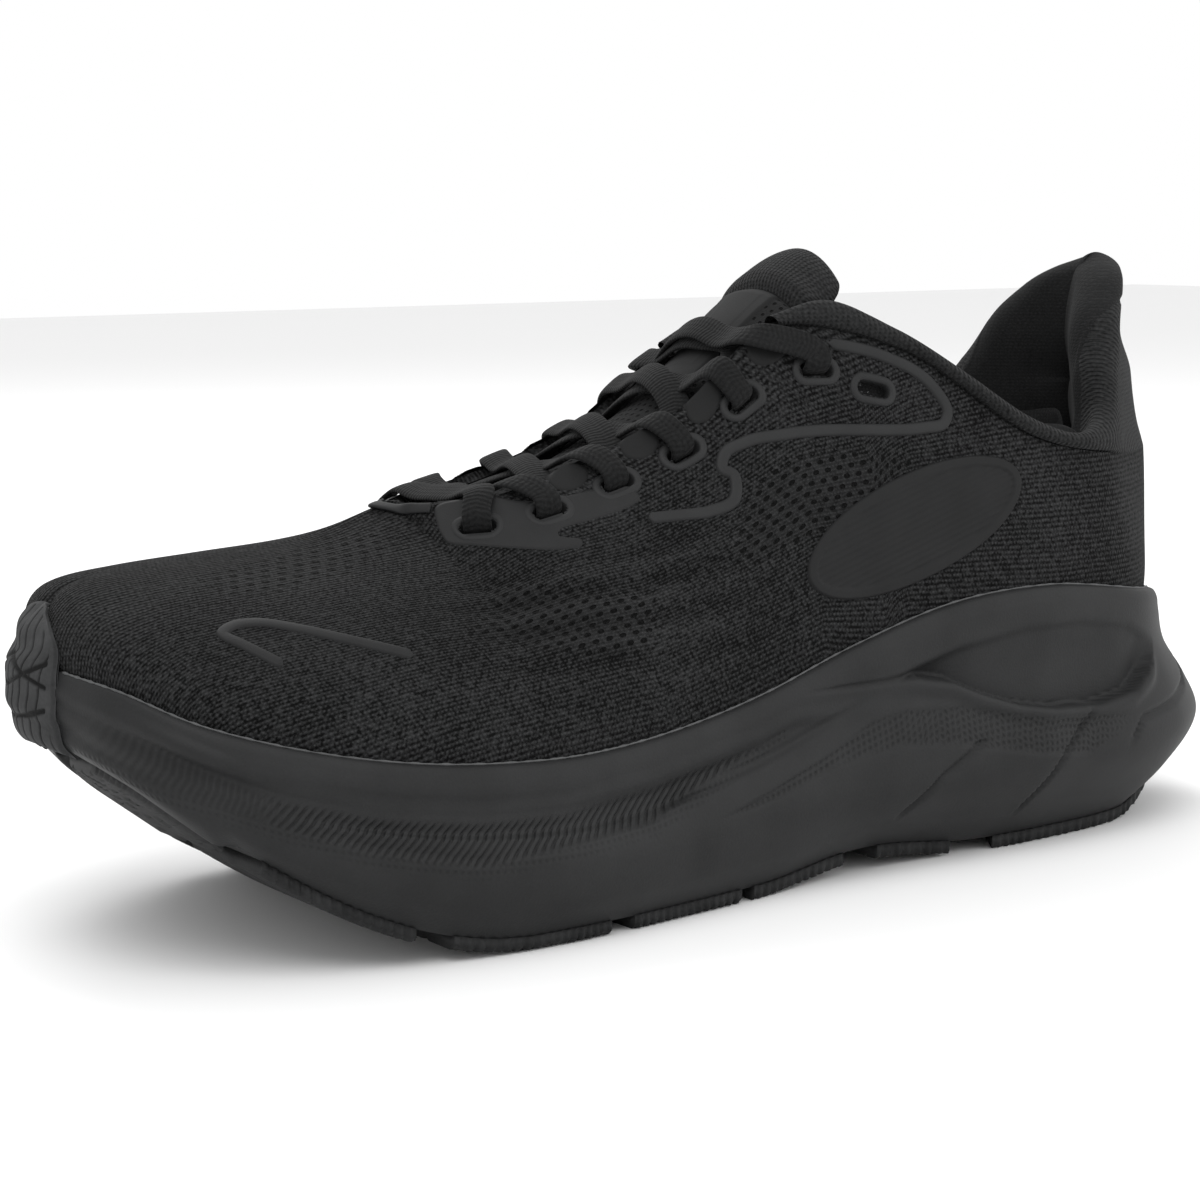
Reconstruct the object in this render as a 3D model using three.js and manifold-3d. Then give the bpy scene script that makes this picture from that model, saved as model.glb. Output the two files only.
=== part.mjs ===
// Running shoe for a left foot, men's US 9 (EU 42.5), maximum-cushion type.
// Millimetres. +X runs from toe to heel, +Z up, the little-toe (lateral) side is -Y,
// and Z = 0 is the ground. Every sheet-like piece is a thickened patch of one of three
// surfaces: the upper with its collar, the midsole wall, and the tongue.
import * as THREE from 'three';
import { mergeVertices } from 'three/addons/utils/BufferGeometryUtils.js';
import Module from 'manifold-3d';

const wasm = await Module();
wasm.setup();

// ---------------------------------------------------------------- driving dimensions
const KNIT = 2.2;              // thickness of the knit upper
const GAP = 0.4;               // clearance between pieces that are glued or sewn in reality
const RUBBER = 3.0;            // outsole pad thickness
const FILM = 0.6;              // thickness of the welded films
const LACE_WIDTH = 6.5;
const LACE_THICK = 1.2;
const SLOT_WIDTH = 5.8;        // the lace is squeezed to this width where it passes an eyelet
const EYELET = [7.6, 3.2];     // lace slot, along and across the throat
const RING = [12.5, 8.2];      // film ring round a lace slot
const SOCKLINER_THICK = 4.5;
const STROBEL_THICK = 1.2;
const STATIONS = 14;           // rail stations from toe (0) to heel (14) on each side
const LOOP = 2 * STATIONS;     // and round the whole shoe: lateral 0..14, medial 14..28
const THROAT_FRONT = 6;        // station where the lacing throat opens

// The featherline, where the upper meets the midsole: stations 0 to 14.
const FEATHER_LATERAL = [
  [-143.8, -1.5, 57], [-142, -15, 56], [-137.5, -28.5, 54], [-127.5, -40.5, 48.5],
  [-110, -47.5, 43], [-87, -50.5, 38.5], [-60, -49, 36], [-43, -46.5, 36], [-24, -44, 38],
  [-3, -41.5, 42.2], [20, -40, 49.3], [48, -39.5, 56.2], [75, -39, 57.8], [109, -31.5, 53.5],
  [133, 0, 49.5],
];
const FEATHER_MEDIAL = [
  [-143.8, -1.5, 57], [-138.5, 14.5, 56.5], [-132.5, 28, 54], [-121, 41, 48.5],
  [-105.5, 48, 43.5], [-86, 50, 39], [-60, 45.5, 36.5], [-43, 41.5, 37.5], [-24, 37.5, 40],
  [-3, 35, 44.5], [20, 34.5, 50.5], [48, 36.5, 55.5], [75, 38, 57], [109, 31.5, 53.5],
  [133, 0, 49.5],
];
// The widest line of the midsole wall.
const FLARE_LATERAL = [
  [-145.2, -1.5, 48.5], [-143.4, -15.5, 46.5], [-138, -31, 41.5], [-126, -43, 34],
  [-107, -51, 26], [-85, -55, 21], [-60, -55.5, 17], [-43, -54, 16], [-24, -51, 16.5],
  [-3, -48, 18], [20, -46.5, 19], [48, -46.5, 20], [77, -46.5, 21], [119, -38, 22],
  [149.8, 0, 23],
];
const FLARE_MEDIAL = [
  [-145.2, -1.5, 48.5], [-139.2, 15.5, 48], [-133, 30, 44], [-120, 43.5, 36], [-103.5, 52, 27],
  [-84, 55.5, 21], [-60, 51, 17], [-43, 47, 17], [-24, 43.5, 19], [-3, 41.5, 21],
  [20, 41.5, 22], [48, 43, 22], [77, 45, 22], [119, 38, 22], [149.8, 0, 23],
];
// The bottom edge of the midsole in plan; its height comes from the rocker below.
const FOOT_LATERAL = [
  [-140.5, -1], [-139, -14], [-134, -28.5], [-121, -39.5], [-104, -46], [-85, -49],
  [-60, -49.5], [-43, -48], [-24, -45], [-3, -41], [20, -36.5], [48, -34], [76, -33.5],
  [112, -26], [141, 0],
];
const FOOT_MEDIAL = [
  [-140.5, -1], [-134.5, 13.5], [-126.5, 27.5], [-114, 39], [-100, 46.5], [-84, 49],
  [-60, 44.5], [-43, 39.5], [-24, 35], [-3, 32.5], [20, 32], [48, 33.5], [76, 33.5],
  [112, 26], [141, 0],
];
// The top line of the vamp, from the toe face to the front of the throat.
const RIDGE = [
  [-138, 3, 66.8], [-134, 4, 70.2], [-127, 5, 72.4], [-115, 5, 73.6], [-100, 4.5, 74.8],
  [-84, 3.5, 76.6], [-66, 1, 82.6],
];
// The edge of the throat (stations 6 to 10) and the collar seam (10 to 14).
const OPENING_LATERAL = [
  [-66, 1, 82.6], [-52, -16, 84.5], [-30, -17.5, 91], [-8, -19, 100], [13, -21, 115.5],
  [42, -28.5, 110.8], [74, -35.5, 90.8], [101, -32.5, 85.5], [132.5, 0, 85],
];
const OPENING_MEDIAL = [
  [-66, 1, 82.6], [-52, 17.5, 82.4], [-30, 18.5, 87.6], [-8, 19.5, 95.4], [13, 21, 108.5],
  [42, 28, 108.5], [74, 35.5, 91], [101, 32.5, 85.5], [132.5, 0, 85],
];
// How the upper leaves the featherline (out, up) and reaches its top edge (out, down).
const SWELL = [
  [1.5, 5, 2, 2.8], [1.5, 8, 7, 1], [1.5, 12, 14, 0.6], [1.5, 15, 21, 0.8], [1.5, 18, 26, 1.5],
  [1.5, 23, 28, 3], [1.5, 26, 22, 9], [1.5, 26, 14, 10], [1, 26, 13, 13], [1, 27, 12, 17],
  [1, 28, 9, 24], [0.5, 22, 5, 22], [0.5, 12, 1.5, 14], [1, 11, 1, 12], [1.5, 12, 1.5, 12],
];
// The collar from its front end to the heel tab: station on the seam, rim point, outward
// bow between seam and rim, and padding thickness at the seam and at the rim.
const COLLAR = [
  [10.1, [13.5, -19.8, 118.8], 1, 1.2, 1.0], [10.5, [27, -23, 122.2], 1.5, 1.4, 1.2],
  [11, [42, -26.5, 116], 2, 2, 1.6], [11.5, [58, -31, 106], 2.5, 3.5, 2.4],
  [12, [74, -33.5, 96], 3, 5.5, 3.4], [12.5, [87, -33.5, 92.2], 4, 7.5, 4.4],
  [13, [98.5, -31.5, 97], 3, 8.5, 4.6], [13.4, [106, -26.5, 107.5], 0, 8, 3.8],
  [13.7, [112.5, -19.5, 119], -3, 6, 3], [13.9, [120, -10, 128], -4, 5, 2.6],
  [14, [125, 0, 131.8], -5, 5, 2.6],
];
// The tongue: x, height on its centre line, half width, radius across, thickness and how
// far it leans down towards the medial side, per unit of width.
const TONGUE = [
  [-60, 75.4, 16.5, 36, 3.5, 0.05], [-51, 79.6, 18, 32, 4.5, 0.08], [-30, 87, 17.5, 28, 5.5, 0.09],
  [-8, 98, 16.5, 26, 5.5, 0.11], [6, 108.2, 14, 24, 6, 0.12], [18, 118.2, 12.8, 34, 7, 0.05],
  [26, 124.6, 14.2, 45, 8, 0], [32, 128.6, 12.8, 42, 7.5, 0], [36.5, 130.2, 9.5, 38, 6, 0],
  [39, 129.8, 5.5, 36, 4, 0],
];

// ---------------------------------------------------------------- curves and surfaces
const vec = (p) => new THREE.Vector3(p[0], p[1], p[2] ?? 0);
const lerp = THREE.MathUtils.lerp;
const clamp = THREE.MathUtils.clamp;

// A smooth curve through points, read by point number.
function rail(points, closed = false) {
  const curve = new THREE.CatmullRomCurve3(points.map(vec), closed, 'centripetal');
  const spans = closed ? points.length : points.length - 1;
  const turn = (t) => t - Math.floor(t);
  return (station) => curve.getPoint(closed ? turn(station / spans) : station / spans);
}

// A closed rail round the shoe from two matching sides that share their ends.
function loopRail(lateral, medial) {
  return rail([...lateral, ...medial.slice(1, -1).reverse()], true);
}

// Smooth numbers read by row number, for tables such as SWELL.
function table(rows) {
  const last = rows.length - 1;
  return (index) => {
    const i = clamp(Math.floor(index), 0, last - 1);
    const t = index - i;
    const at = (j) => rows[clamp(j, 0, last)];
    return rows[0].map((_, c) => {
      const [a, b, d, e] = [at(i - 1)[c], at(i)[c], at(i + 1)[c], at(i + 2)[c]];
      return b + 0.5 * t * (d - a + t * (2 * a - 5 * b + 4 * d - e + t * (3 * (b - d) + e - a)));
    });
  };
}

const feather = loopRail(FEATHER_LATERAL, FEATHER_MEDIAL);
const flare = loopRail(FLARE_LATERAL, FLARE_MEDIAL);
const foot = loopRail(FOOT_LATERAL, FOOT_MEDIAL);
const ridge = rail(RIDGE);
const opening = loopRail(OPENING_LATERAL, OPENING_MEDIAL);
const swell = table(SWELL);

const wrap = (k) => ((k % LOOP) + LOOP) % LOOP;
const fold = (k) => Math.min(wrap(k), LOOP - wrap(k));

// Level direction pointing out of the shoe at loop station k.
function outward(k) {
  const step = 0.02;
  const along = feather(wrap(k + step)).sub(feather(wrap(k - step)));
  return new THREE.Vector3(along.y, -along.x, 0).normalize();
}

function topEdge(k) {
  const station = fold(k);
  if (station <= THROAT_FRONT) return ridge(station);
  return opening(wrap(k) - THROAT_FRONT);
}

// Height of the tread surface: flat under the ball and the heel, with a toe rocker that
// starts sooner on the medial side, an arch between them and a heel bevel.
const ROCKER_START = -62;      // x where the sole begins to curve up to the toe
const ROCKER_CURVE = 0.0067;
const MEDIAL_LIFT = 0.1;       // extra rise per mm of medial width, full from x = -118
const BEVEL_START = 104;       // x where the heel begins to curve up
const BEVEL_CURVE = 0.0085;
const ARCH = [-6, 62];         // the hollow under the arch, and its height
const ARCH_RISE = 2.6;

function ground({ x, y }) {
  if (x < ROCKER_START) {
    const medial = MEDIAL_LIFT * Math.max(y, 0) * THREE.MathUtils.smoothstep(-x, 70, 118);
    return ROCKER_CURVE * (x - ROCKER_START) ** 2 + medial;
  }
  if (x > BEVEL_START) return BEVEL_CURVE * (x - BEVEL_START) ** 2;
  const along = (x - ARCH[0]) / (ARCH[1] - ARCH[0]);
  return along > 0 && along < 1 ? ARCH_RISE * Math.sin(along * Math.PI) ** 2 : 0;
}

const SOLE_UNDER = RUBBER + GAP + 0.1;

const BED_BALL = 28.5;         // foam height under the ball of the foot
const BED_DROP = 9;            // and how much higher the heel stands
const BED_BALL_X = -60;
const BED_HEEL_X = 70;
const BED_TOE_CURVE = 0.0031;

// Top of the foam under the foot.
function footbed(x) {
  const heel = THREE.MathUtils.smoothstep(x, BED_BALL_X, BED_HEEL_X);
  return BED_BALL + BED_DROP * heel + BED_TOE_CURVE * Math.min(x - BED_BALL_X, 0) ** 2;
}

// The upper: v = 0 at the featherline, 1 at the top edge, and below 0 the tuck that is
// lasted under the foot inside the midsole's rim.
function upperPoint(k, v) {
  const base = feather(wrap(k));
  const out = outward(k);
  if (v < 0) {
    const sunk = base.z - footbed(base.x) - 1.4;
    const depth = v > -0.5 ? lerp(0, 4, -2 * v) : lerp(4, sunk, -2 * v - 1);
    const inset = v > -0.5 ? lerp(0, 1.2, -2 * v) : lerp(1.2, 4, -2 * v - 1);
    return base.addScaledVector(out, -inset).setZ(base.z - Math.min(depth, sunk));
  }
  const [outLow, up, outHigh, down] = swell(fold(k));
  const low = base.clone().addScaledVector(out, outLow).add(vec([0, 0, up]));
  const top = topEdge(k);
  const high = top.clone().addScaledVector(out, outHigh).sub(vec([0, 0, down]));
  return new THREE.CubicBezierCurve3(base, low, high, top).getPoint(v);
}

// Outward unit normal of a surface(k, v) whose k runs round the shoe and v upward.
function normalOf(surface, k, v) {
  const step = 0.01;
  const high = Math.min(v + step, 1);
  const along = surface(k + step, v).sub(surface(k - step, v));
  const upward = surface(k, high).sub(surface(k, high - 2 * step));
  return along.cross(upward).normalize();
}

const ROWS_UPPER = [-1, -0.5, 0, 0.14, 0.28, 0.42, 0.56, 0.7, 0.85, 1];
const steps = (from, to, count) => Array.from({ length: count + 1 }, (_, i) => lerp(from, to, i / count));
// Stations of the upper's columns, closer together round the toe and the heel.
const COLUMNS_UPPER = [...steps(0, 2.5, 10), ...steps(3, 11, 16), ...steps(11.25, 16.75, 22),
  ...steps(17, 25, 16), ...steps(25.5, 28, 10)];

// The point of the faceted upper at (k, v), so that films follow its facets exactly.
function facetPoint(k, v) {
  const turned = wrap(k);
  const cell = (edges, value) => {
    const i = clamp(edges.findLastIndex((e) => e <= value), 0, edges.length - 2);
    return [edges[i], edges[i + 1], (value - edges[i]) / (edges[i + 1] - edges[i])];
  };
  const [left, right, a] = cell(COLUMNS_UPPER, turned);
  const [low, high, b] = cell(ROWS_UPPER, v);
  const p00 = upperPoint(left, low);
  const p11 = upperPoint(right, high);
  const corner = a >= b ? upperPoint(right, low) : upperPoint(left, high);
  const [first, second] = a >= b ? [a - b, b] : [b - a, a];
  return p00.clone().multiplyScalar(1 - first - second).addScaledVector(corner, first)
    .addScaledVector(p11, second);
}

// ---------------------------------------------------------------- solids from sheets
const MERGE = 1e3;             // points closer than 1/MERGE are one point

function joined(points, triangles) {
  const keys = new Map();
  const kept = [];
  const index = points.map((p) => {
    const key = [p.x, p.y, p.z].map((c) => Math.round(c * MERGE)).join();
    if (!keys.has(key)) keys.set(key, kept.push(p) - 1);
    return keys.get(key);
  });
  const faces = triangles.map((t) => t.map((i) => index[i]))
    .filter(([a, b, c]) => a !== b && b !== c && c !== a);
  return { points: kept, triangles: faces, index };
}

// Quads of a grid of columns x rows, with the normal along (column step) x (row step).
function gridTriangles(columns, rows, closedRows = false) {
  const faces = [];
  const span = closedRows ? rows : rows - 1;
  for (let c = 0; c < columns - 1; c++) {
    for (let r = 0; r < span; r++) {
      const next = (r + 1) % rows;
      const [a, b, d, e] = [c * rows + r, (c + 1) * rows + r, (c + 1) * rows + next, c * rows + next];
      faces.push([a, b, d], [a, d, e]);
    }
  }
  return faces;
}

// Geometry of a closed solid, turned so that its faces point out.
function geometryOf(points, triangles) {
  const volume = triangles.reduce((sum, [a, b, c]) => sum
    + points[a].dot(points[b].clone().cross(points[c])), 0);
  const faces = volume > 0 ? triangles : triangles.map(([a, b, c]) => [a, c, b]);
  const geometry = new THREE.BufferGeometry();
  const flat = points.flatMap((p) => [p.x, p.y, p.z]);
  geometry.setAttribute('position', new THREE.Float32BufferAttribute(flat, 3));
  geometry.setIndex(faces.flat());
  return geometry;
}

// A closed solid between two offsets of an open sheet. Each offset is a number of
// millimetres along the outward normal, or a function of the sheet's own coordinates.
function thicken(surface, columns, rows, outer, inner) {
  const coordinates = columns.flatMap((k) => rows.map((v) => [k, v]));
  const raw = coordinates.map(([k, v]) => surface(k, v));
  const { points, triangles, index } = joined(raw, gridTriangles(columns.length, rows.length));
  const home = [];
  index.forEach((merged, i) => { home[merged] ??= coordinates[i]; });
  const normals = points.map(() => new THREE.Vector3());
  for (const [a, b, c] of triangles) {
    const side = points[b].clone().sub(points[a]);
    const face = side.cross(points[c].clone().sub(points[a]));
    [a, b, c].forEach((i) => normals[i].add(face));
  }
  normals.forEach((n) => n.normalize());
  const layer = (offset) => points.map((p, i) => p.clone().addScaledVector(normals[i],
    typeof offset === 'function' ? offset(...home[i]) : offset));
  const count = points.length;
  const faces = triangles.flatMap(([a, b, c]) => [[a, b, c], [a + count, c + count, b + count]]);
  const edges = new Set(triangles.flatMap(([a, b, c]) => [`${a},${b}`, `${b},${c}`, `${c},${a}`]));
  for (const edge of edges) {
    const [a, b] = edge.split(',').map(Number);
    if (!edges.has(`${b},${a}`)) faces.push([b, a, a + count], [b, a + count, b + count]);
  }
  return geometryOf([...layer(outer), ...layer(inner)], faces);
}

// A closed solid through closed sections of equal point count, with flat or pointed ends.
function loft(sections) {
  const rows = sections[0].length;
  const faces = gridTriangles(sections.length, rows, true);
  const last = (sections.length - 1) * rows;
  for (let r = 1; r < rows - 1; r++) faces.push([0, r, r + 1], [last, last + r + 1, last + r]);
  const { points, triangles } = joined(sections.flat(), faces);
  return geometryOf(points, triangles.filter((t, i, all) => !cancels(t, all)));
}

// True for an end-cap triangle whose mirror image is also there, which leaves nothing.
function cancels([a, b, c], all) {
  return all.some(([d, e, f]) => (d === a && e === c && f === b)
    || (d === c && e === b && f === a) || (d === b && e === a && f === c));
}

function manifoldOf(geometry) {
  const mesh = new wasm.Mesh({
    numProp: 3,
    vertProperties: new Float32Array(geometry.getAttribute('position').array),
    triVerts: new Uint32Array(geometry.getIndex().array),
  });
  return new wasm.Manifold(mesh);
}

function geometryFrom(solid) {
  const mesh = solid.getMesh();
  const geometry = new THREE.BufferGeometry();
  geometry.setAttribute('position', new THREE.Float32BufferAttribute(mesh.vertProperties, 3));
  geometry.setIndex(Array.from(mesh.triVerts));
  return geometry;
}

// ---------------------------------------------------------------- colours and the group
const shoe = new THREE.Group();
const LOOKS = {
  knit: [0x252628, 0.95], collar: [0x2b2c2e, 0.92], lining: [0x1f2022, 0.95], foam: [0x3a3b3e, 0.7],
  rubber: [0x38393b, 0.75], film: [0x404144, 0.6], lace: [0x2c2d2f, 0.85], board: [0x4a4a48, 0.9],
  plastic: [0x303133, 0.5], padding: [0x2a2b2d, 0.95],
};

function add(name, look, geometry) {
  const [color, roughness] = LOOKS[look];
  const material = new THREE.MeshStandardMaterial({ name: look, color, roughness, metalness: 0 });
  const mesh = new THREE.Mesh(geometry, material);
  mesh.name = name;
  shoe.add(mesh);
  return geometry;
}

// ---------------------------------------------------------------- midsole
// Wall of the midsole at station k, from the footbed edge over the rim to the bottom edge.
function midsoleWall(k) {
  const base = feather(wrap(k));
  const out = outward(k);
  const wide = flare(wrap(k));
  const low = foot(wrap(k));
  low.z = ground(low) + SOLE_UNDER;
  const from = (away, height) => base.clone().addScaledVector(out, away).setZ(height);
  const tuck = [-1, -0.5].map((v) => upperPoint(k, v).addScaledVector(out, 0.55));
  const floor = tuck[0].clone().setZ(footbed(tuck[0].x));
  const rim = [from(0.55, base.z + 0.2), from(1.8, base.z + 0.4), from(3.1, base.z - 1.2),
    from(3.4, base.z - 4.2)];
  const under = rim[3];
  const wall = [[0.3, -1.4], [0.65, 0.2]].map(([t, away]) => under.clone().lerp(wide, t)
    .addScaledVector(out, away));
  const shin = wide.clone().lerp(low, 0.55).addScaledVector(out, 1.6);
  return [floor, ...tuck, ...rim, ...wall, wide, shin, low];
}

// Points strictly between two side points, at heights given by a function of x.
function across(from, to, height, count = 4) {
  return steps(0, 1, count).slice(1, -1).map((t) => {
    const p = from.clone().lerp(to, t);
    return p.setZ(height(p));
  });
}

function midsole() {
  const stations = [...steps(0, 3, 12), ...steps(3.5, 12, 17), ...steps(12.25, STATIONS, 7)];
  const sections = stations.map((s) => {
    const lateral = midsoleWall(s);
    const medial = midsoleWall(LOOP - s);
    const under = across(lateral.at(-1), medial.at(-1), (p) => ground(p) + SOLE_UNDER);
    const bed = across(medial[0], lateral[0], (p) => footbed(p.x));
    return [...lateral, ...under, ...medial.reverse(), ...bed];
  });
  return loft(sections);
}

// ---------------------------------------------------------------- outsole
// Slab of rubber between an outer and an inner edge point, following the tread surface.
function slabSection(edge, inner, count) {
  const line = [edge, ...across(edge, inner, ground, count), inner];
  const low = line.map((p) => p.clone().setZ(ground(p)));
  const high = low.map((p) => p.clone().setZ(p.z + RUBBER));
  return [...low, ...high.reverse()];
}

// A rubber pad between two stations on one side, reaching in from the edge.
function pad(side, from, to, reach) {
  return loft(steps(from, to, Math.round((to - from) * 4)).map((s) => {
    const k = side < 0 ? s : LOOP - s;
    const edge = foot(wrap(k)).addScaledVector(outward(k), 0.6);
    return slabSection(edge, edge.clone().setY(edge.y - side * reach), 2);
  }));
}

// The heel pads curve round to the centre line, so they reach towards the heel's middle.
function heelPad(side) {
  const centre = new THREE.Vector3(84, side * 5, 0);
  return loft(steps(11.6, 13.9, 10).map((s) => {
    const k = side < 0 ? s : LOOP - s;
    const edge = foot(wrap(k)).addScaledVector(outward(k), 0.6);
    const inner = edge.clone().lerp(centre, 0.48);
    return slabSection(edge, inner.setY(side * Math.max(side * inner.y, 3)), 3);
  }));
}

// Pad under the toe, across the full width.
const toePad = () => loft(steps(0.7, 2.8, 8).map((s) => slabSection(foot(s), foot(LOOP - s), 6)));

// Rubber bumper that climbs the front of the toe over the midsole and the upper.
function toeBumper() {
  const REACH = 0.88;
  const surface = (k, r) => {
    const wall = midsoleWall(k);
    const profile = [wall[11], wall[10], wall[9], wall[8], wall[6], wall[5], upperPoint(k, 0.25),
      upperPoint(k, 0.48), upperPoint(k, 0.68)];
    profile[0] = profile[0].clone().addScaledVector(outward(k), 0.8).setZ(profile[0].z + 0.6);
    profile[5] = profile[5].clone().addScaledVector(outward(k), -0.6).setZ(profile[5].z + 0.8);
    return profile[r];
  };
  const rows = [0, 1, 2, 3, 4, 5, 6, 7, 8];
  return thicken(surface, steps(-REACH, REACH, 8), rows, 3, 0.45);
}

const sideName = { '-1': 'lateral', 1: 'medial' };
const PADS = { // stations from and to, and how far each pad reaches in
  '-1': [[3.25, 4.8, 30], [5.15, 6.85, 32], [7.2, 8.7, 26], [8.85, 10.05, 15], [10.4, 11.15, 13]],
  1: [[3.35, 4.8, 30], [5.15, 6.85, 32], [7.2, 8.7, 20], [10.4, 11.15, 13]],
};

add('midsole', 'foam', midsole());
add('outsole_toe_bumper', 'rubber', toeBumper());
add('outsole_toe_pad', 'rubber', toePad());
for (const side of [-1, 1]) {
  PADS[side].forEach(([from, to, reach], i) => {
    add(`outsole_${sideName[side]}_pad_${i + 1}`, 'rubber', pad(side, from, to, reach));
  });
  add(`outsole_${sideName[side]}_heel_pad`, 'rubber', heelPad(side));
}

// ---------------------------------------------------------------- footbed layers
function bedLayer(inset, bottom, top) {
  const edge = (k) => feather(wrap(k)).addScaledVector(outward(k), -inset);
  return loft(steps(0, STATIONS, STATIONS).map((s) => {
    const ends = [edge(s), edge(LOOP - s)].map((p) => p.setZ(footbed(p.x)));
    const floor = [ends[0], ...across(ends[0], ends[1], (p) => footbed(p.x), 6), ends[1]];
    const low = floor.map((p) => p.clone().setZ(p.z + bottom));
    const high = floor.map((p) => p.clone().setZ(p.z + top)).reverse();
    return [...low, ...high];
  }));
}

const STROBEL_BASE = 0.3;
const SOCKLINER_BASE = STROBEL_BASE + STROBEL_THICK + 0.3;
add('strobel_board', 'board', bedLayer(7.6, STROBEL_BASE, STROBEL_BASE + STROBEL_THICK));
add('sockliner', 'lining', bedLayer(9.2, SOCKLINER_BASE, SOCKLINER_BASE + SOCKLINER_THICK));

// ---------------------------------------------------------------- eyelets
const EYELET_FIRST = 6.64;     // station of the lowest eyelet
const EYELET_PITCH = 0.732;    // stations between the six laced eyelets
const EYELET_COUNT = 7;        // the seventh is the spare one
const SPARE = [10.72, 0.825];

// Loop station and height of eyelet i (1..7) on a side.
function eyeletAt(side, i) {
  const station = i === EYELET_COUNT ? SPARE[0] : EYELET_FIRST + EYELET_PITCH * (i - 1);
  const v = i === EYELET_COUNT ? SPARE[1] : lerp(0.835, 0.865, (i - 1) / 5);
  return [side < 0 ? station : LOOP - station, v];
}

// Frame at an eyelet: centre, outward normal, direction up along the throat, direction
// away from the throat.
function eyeletFrame(side, i) {
  const [k, v] = eyeletAt(side, i);
  const normal = normalOf(upperPoint, k, v);
  const along = upperPoint(k + 0.3, Math.min(v, 0.9)).sub(upperPoint(k - 0.3, Math.min(v, 0.9)));
  along.multiplyScalar(-side).projectOnPlane(normal).normalize();
  const away = along.clone().cross(normal).multiplyScalar(-side).normalize();
  return { k, v, centre: facetPoint(k, v), normal, along, away };
}

// Stadium outline, long way along the throat.
function stadium([length, width], frame, height, sides = 12) {
  const radius = width / 2;
  return Array.from({ length: sides }, (_, i) => {
    const angle = (i + 0.5) / sides * 2 * Math.PI;
    const shift = Math.sign(Math.cos(angle)) * (length / 2 - radius);
    return frame.centre.clone()
      .addScaledVector(frame.along, shift + radius * Math.cos(angle))
      .addScaledVector(frame.away, radius * Math.sin(angle))
      .addScaledVector(frame.normal, height);
  });
}

const prism = (rings) => manifoldOf(loft(rings));

// Flat film ring round an eyelet, as four stadium outlines joined in a closed band.
function eyeletRing(side, i) {
  const frame = eyeletFrame(side, i);
  const [low, high] = [0.5, 0.5 + FILM];
  const outlines = [stadium(RING, frame, low), stadium(RING, frame, high),
    stadium(EYELET, frame, high), stadium(EYELET, frame, low)];
  const turns = Array.from({ length: outlines[0].length + 1 }, (_, t) => t % outlines[0].length);
  const { points, triangles } = joined(turns.flatMap((t) => outlines.map((o) => o[t])),
    gridTriangles(turns.length, outlines.length, true));
  return geometryOf(points, triangles);
}

// ---------------------------------------------------------------- upper and stiffeners
function upper() {
  let solid = manifoldOf(thicken(upperPoint, COLUMNS_UPPER, ROWS_UPPER, 0, -KNIT));
  for (const side of [-1, 1]) {
    for (let i = 1; i <= EYELET_COUNT; i++) {
      const frame = eyeletFrame(side, i);
      solid = solid.subtract(prism([stadium(EYELET, frame, -KNIT - 3), stadium(EYELET, frame, 3)]));
    }
  }
  return geometryFrom(solid);
}

add('upper', 'knit', upper());
add('toe_puff', 'plastic', thicken(upperPoint, steps(-3, 3, 12), [0.1, 0.28, 0.42, 0.56, 0.7],
  -KNIT - GAP, -KNIT - 1.2));
for (const side of [-1, 1]) {
  for (let i = 1; i <= EYELET_COUNT; i++) {
    add(`eyelet_film_${sideName[side]}_${i}`, 'film', eyeletRing(side, i));
  }
}

// ---------------------------------------------------------------- collar and heel
const collarRow = table(COLLAR.map(([station, , ...rest]) => [station, ...rest]));
const COLLAR_LAST = COLLAR.length - 1;
const MEDIAL_DROP = [7, 5, 1.5, 0, 0, 0, 0.5, 2, 1, 0, 0];
const mirrored = COLLAR.map(([, [x, y, z]], i) => [x, -y, z - MEDIAL_DROP[i]]).slice(0, -1).reverse();
const rim = rail([...COLLAR.map(([, p]) => p), ...mirrored]);
const COLLAR_SPAN = 2 * COLLAR_LAST;

// Collar coordinate c runs from the lateral front (0) over the heel to the medial front.
const foldCollar = (c) => Math.min(c, COLLAR_SPAN - c);
function seamStation(c) {
  const station = collarRow(foldCollar(c))[0];
  return c <= COLLAR_LAST ? station : LOOP - station;
}

// Lowest point of the collar padding on the upper, by station.
const padFloor = (station) => lerp(0.95, 0.56, THREE.MathUtils.smoothstep(station, 10.9, 12.6));

// r = 0 at the bottom of the padding, 1 at the seam, 2 at the rim.
function collarPoint(c, r) {
  const k = seamStation(c);
  if (r <= 1) return upperPoint(k, lerp(padFloor(fold(k)), 1, r));
  const seam = upperPoint(k, 1);
  const top = rim(c);
  const bow = collarRow(foldCollar(c))[1];
  const middle = seam.clone().lerp(top, 0.55).addScaledVector(outward(k), bow);
  return new THREE.QuadraticBezierCurve3(seam, middle, top).getPoint(r - 1);
}

function padding(c, r) {
  const [, , seam, top] = collarRow(foldCollar(c));
  return r < 1 ? lerp(0.5 * seam, seam, r) : lerp(seam, top, r - 1);
}

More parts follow.
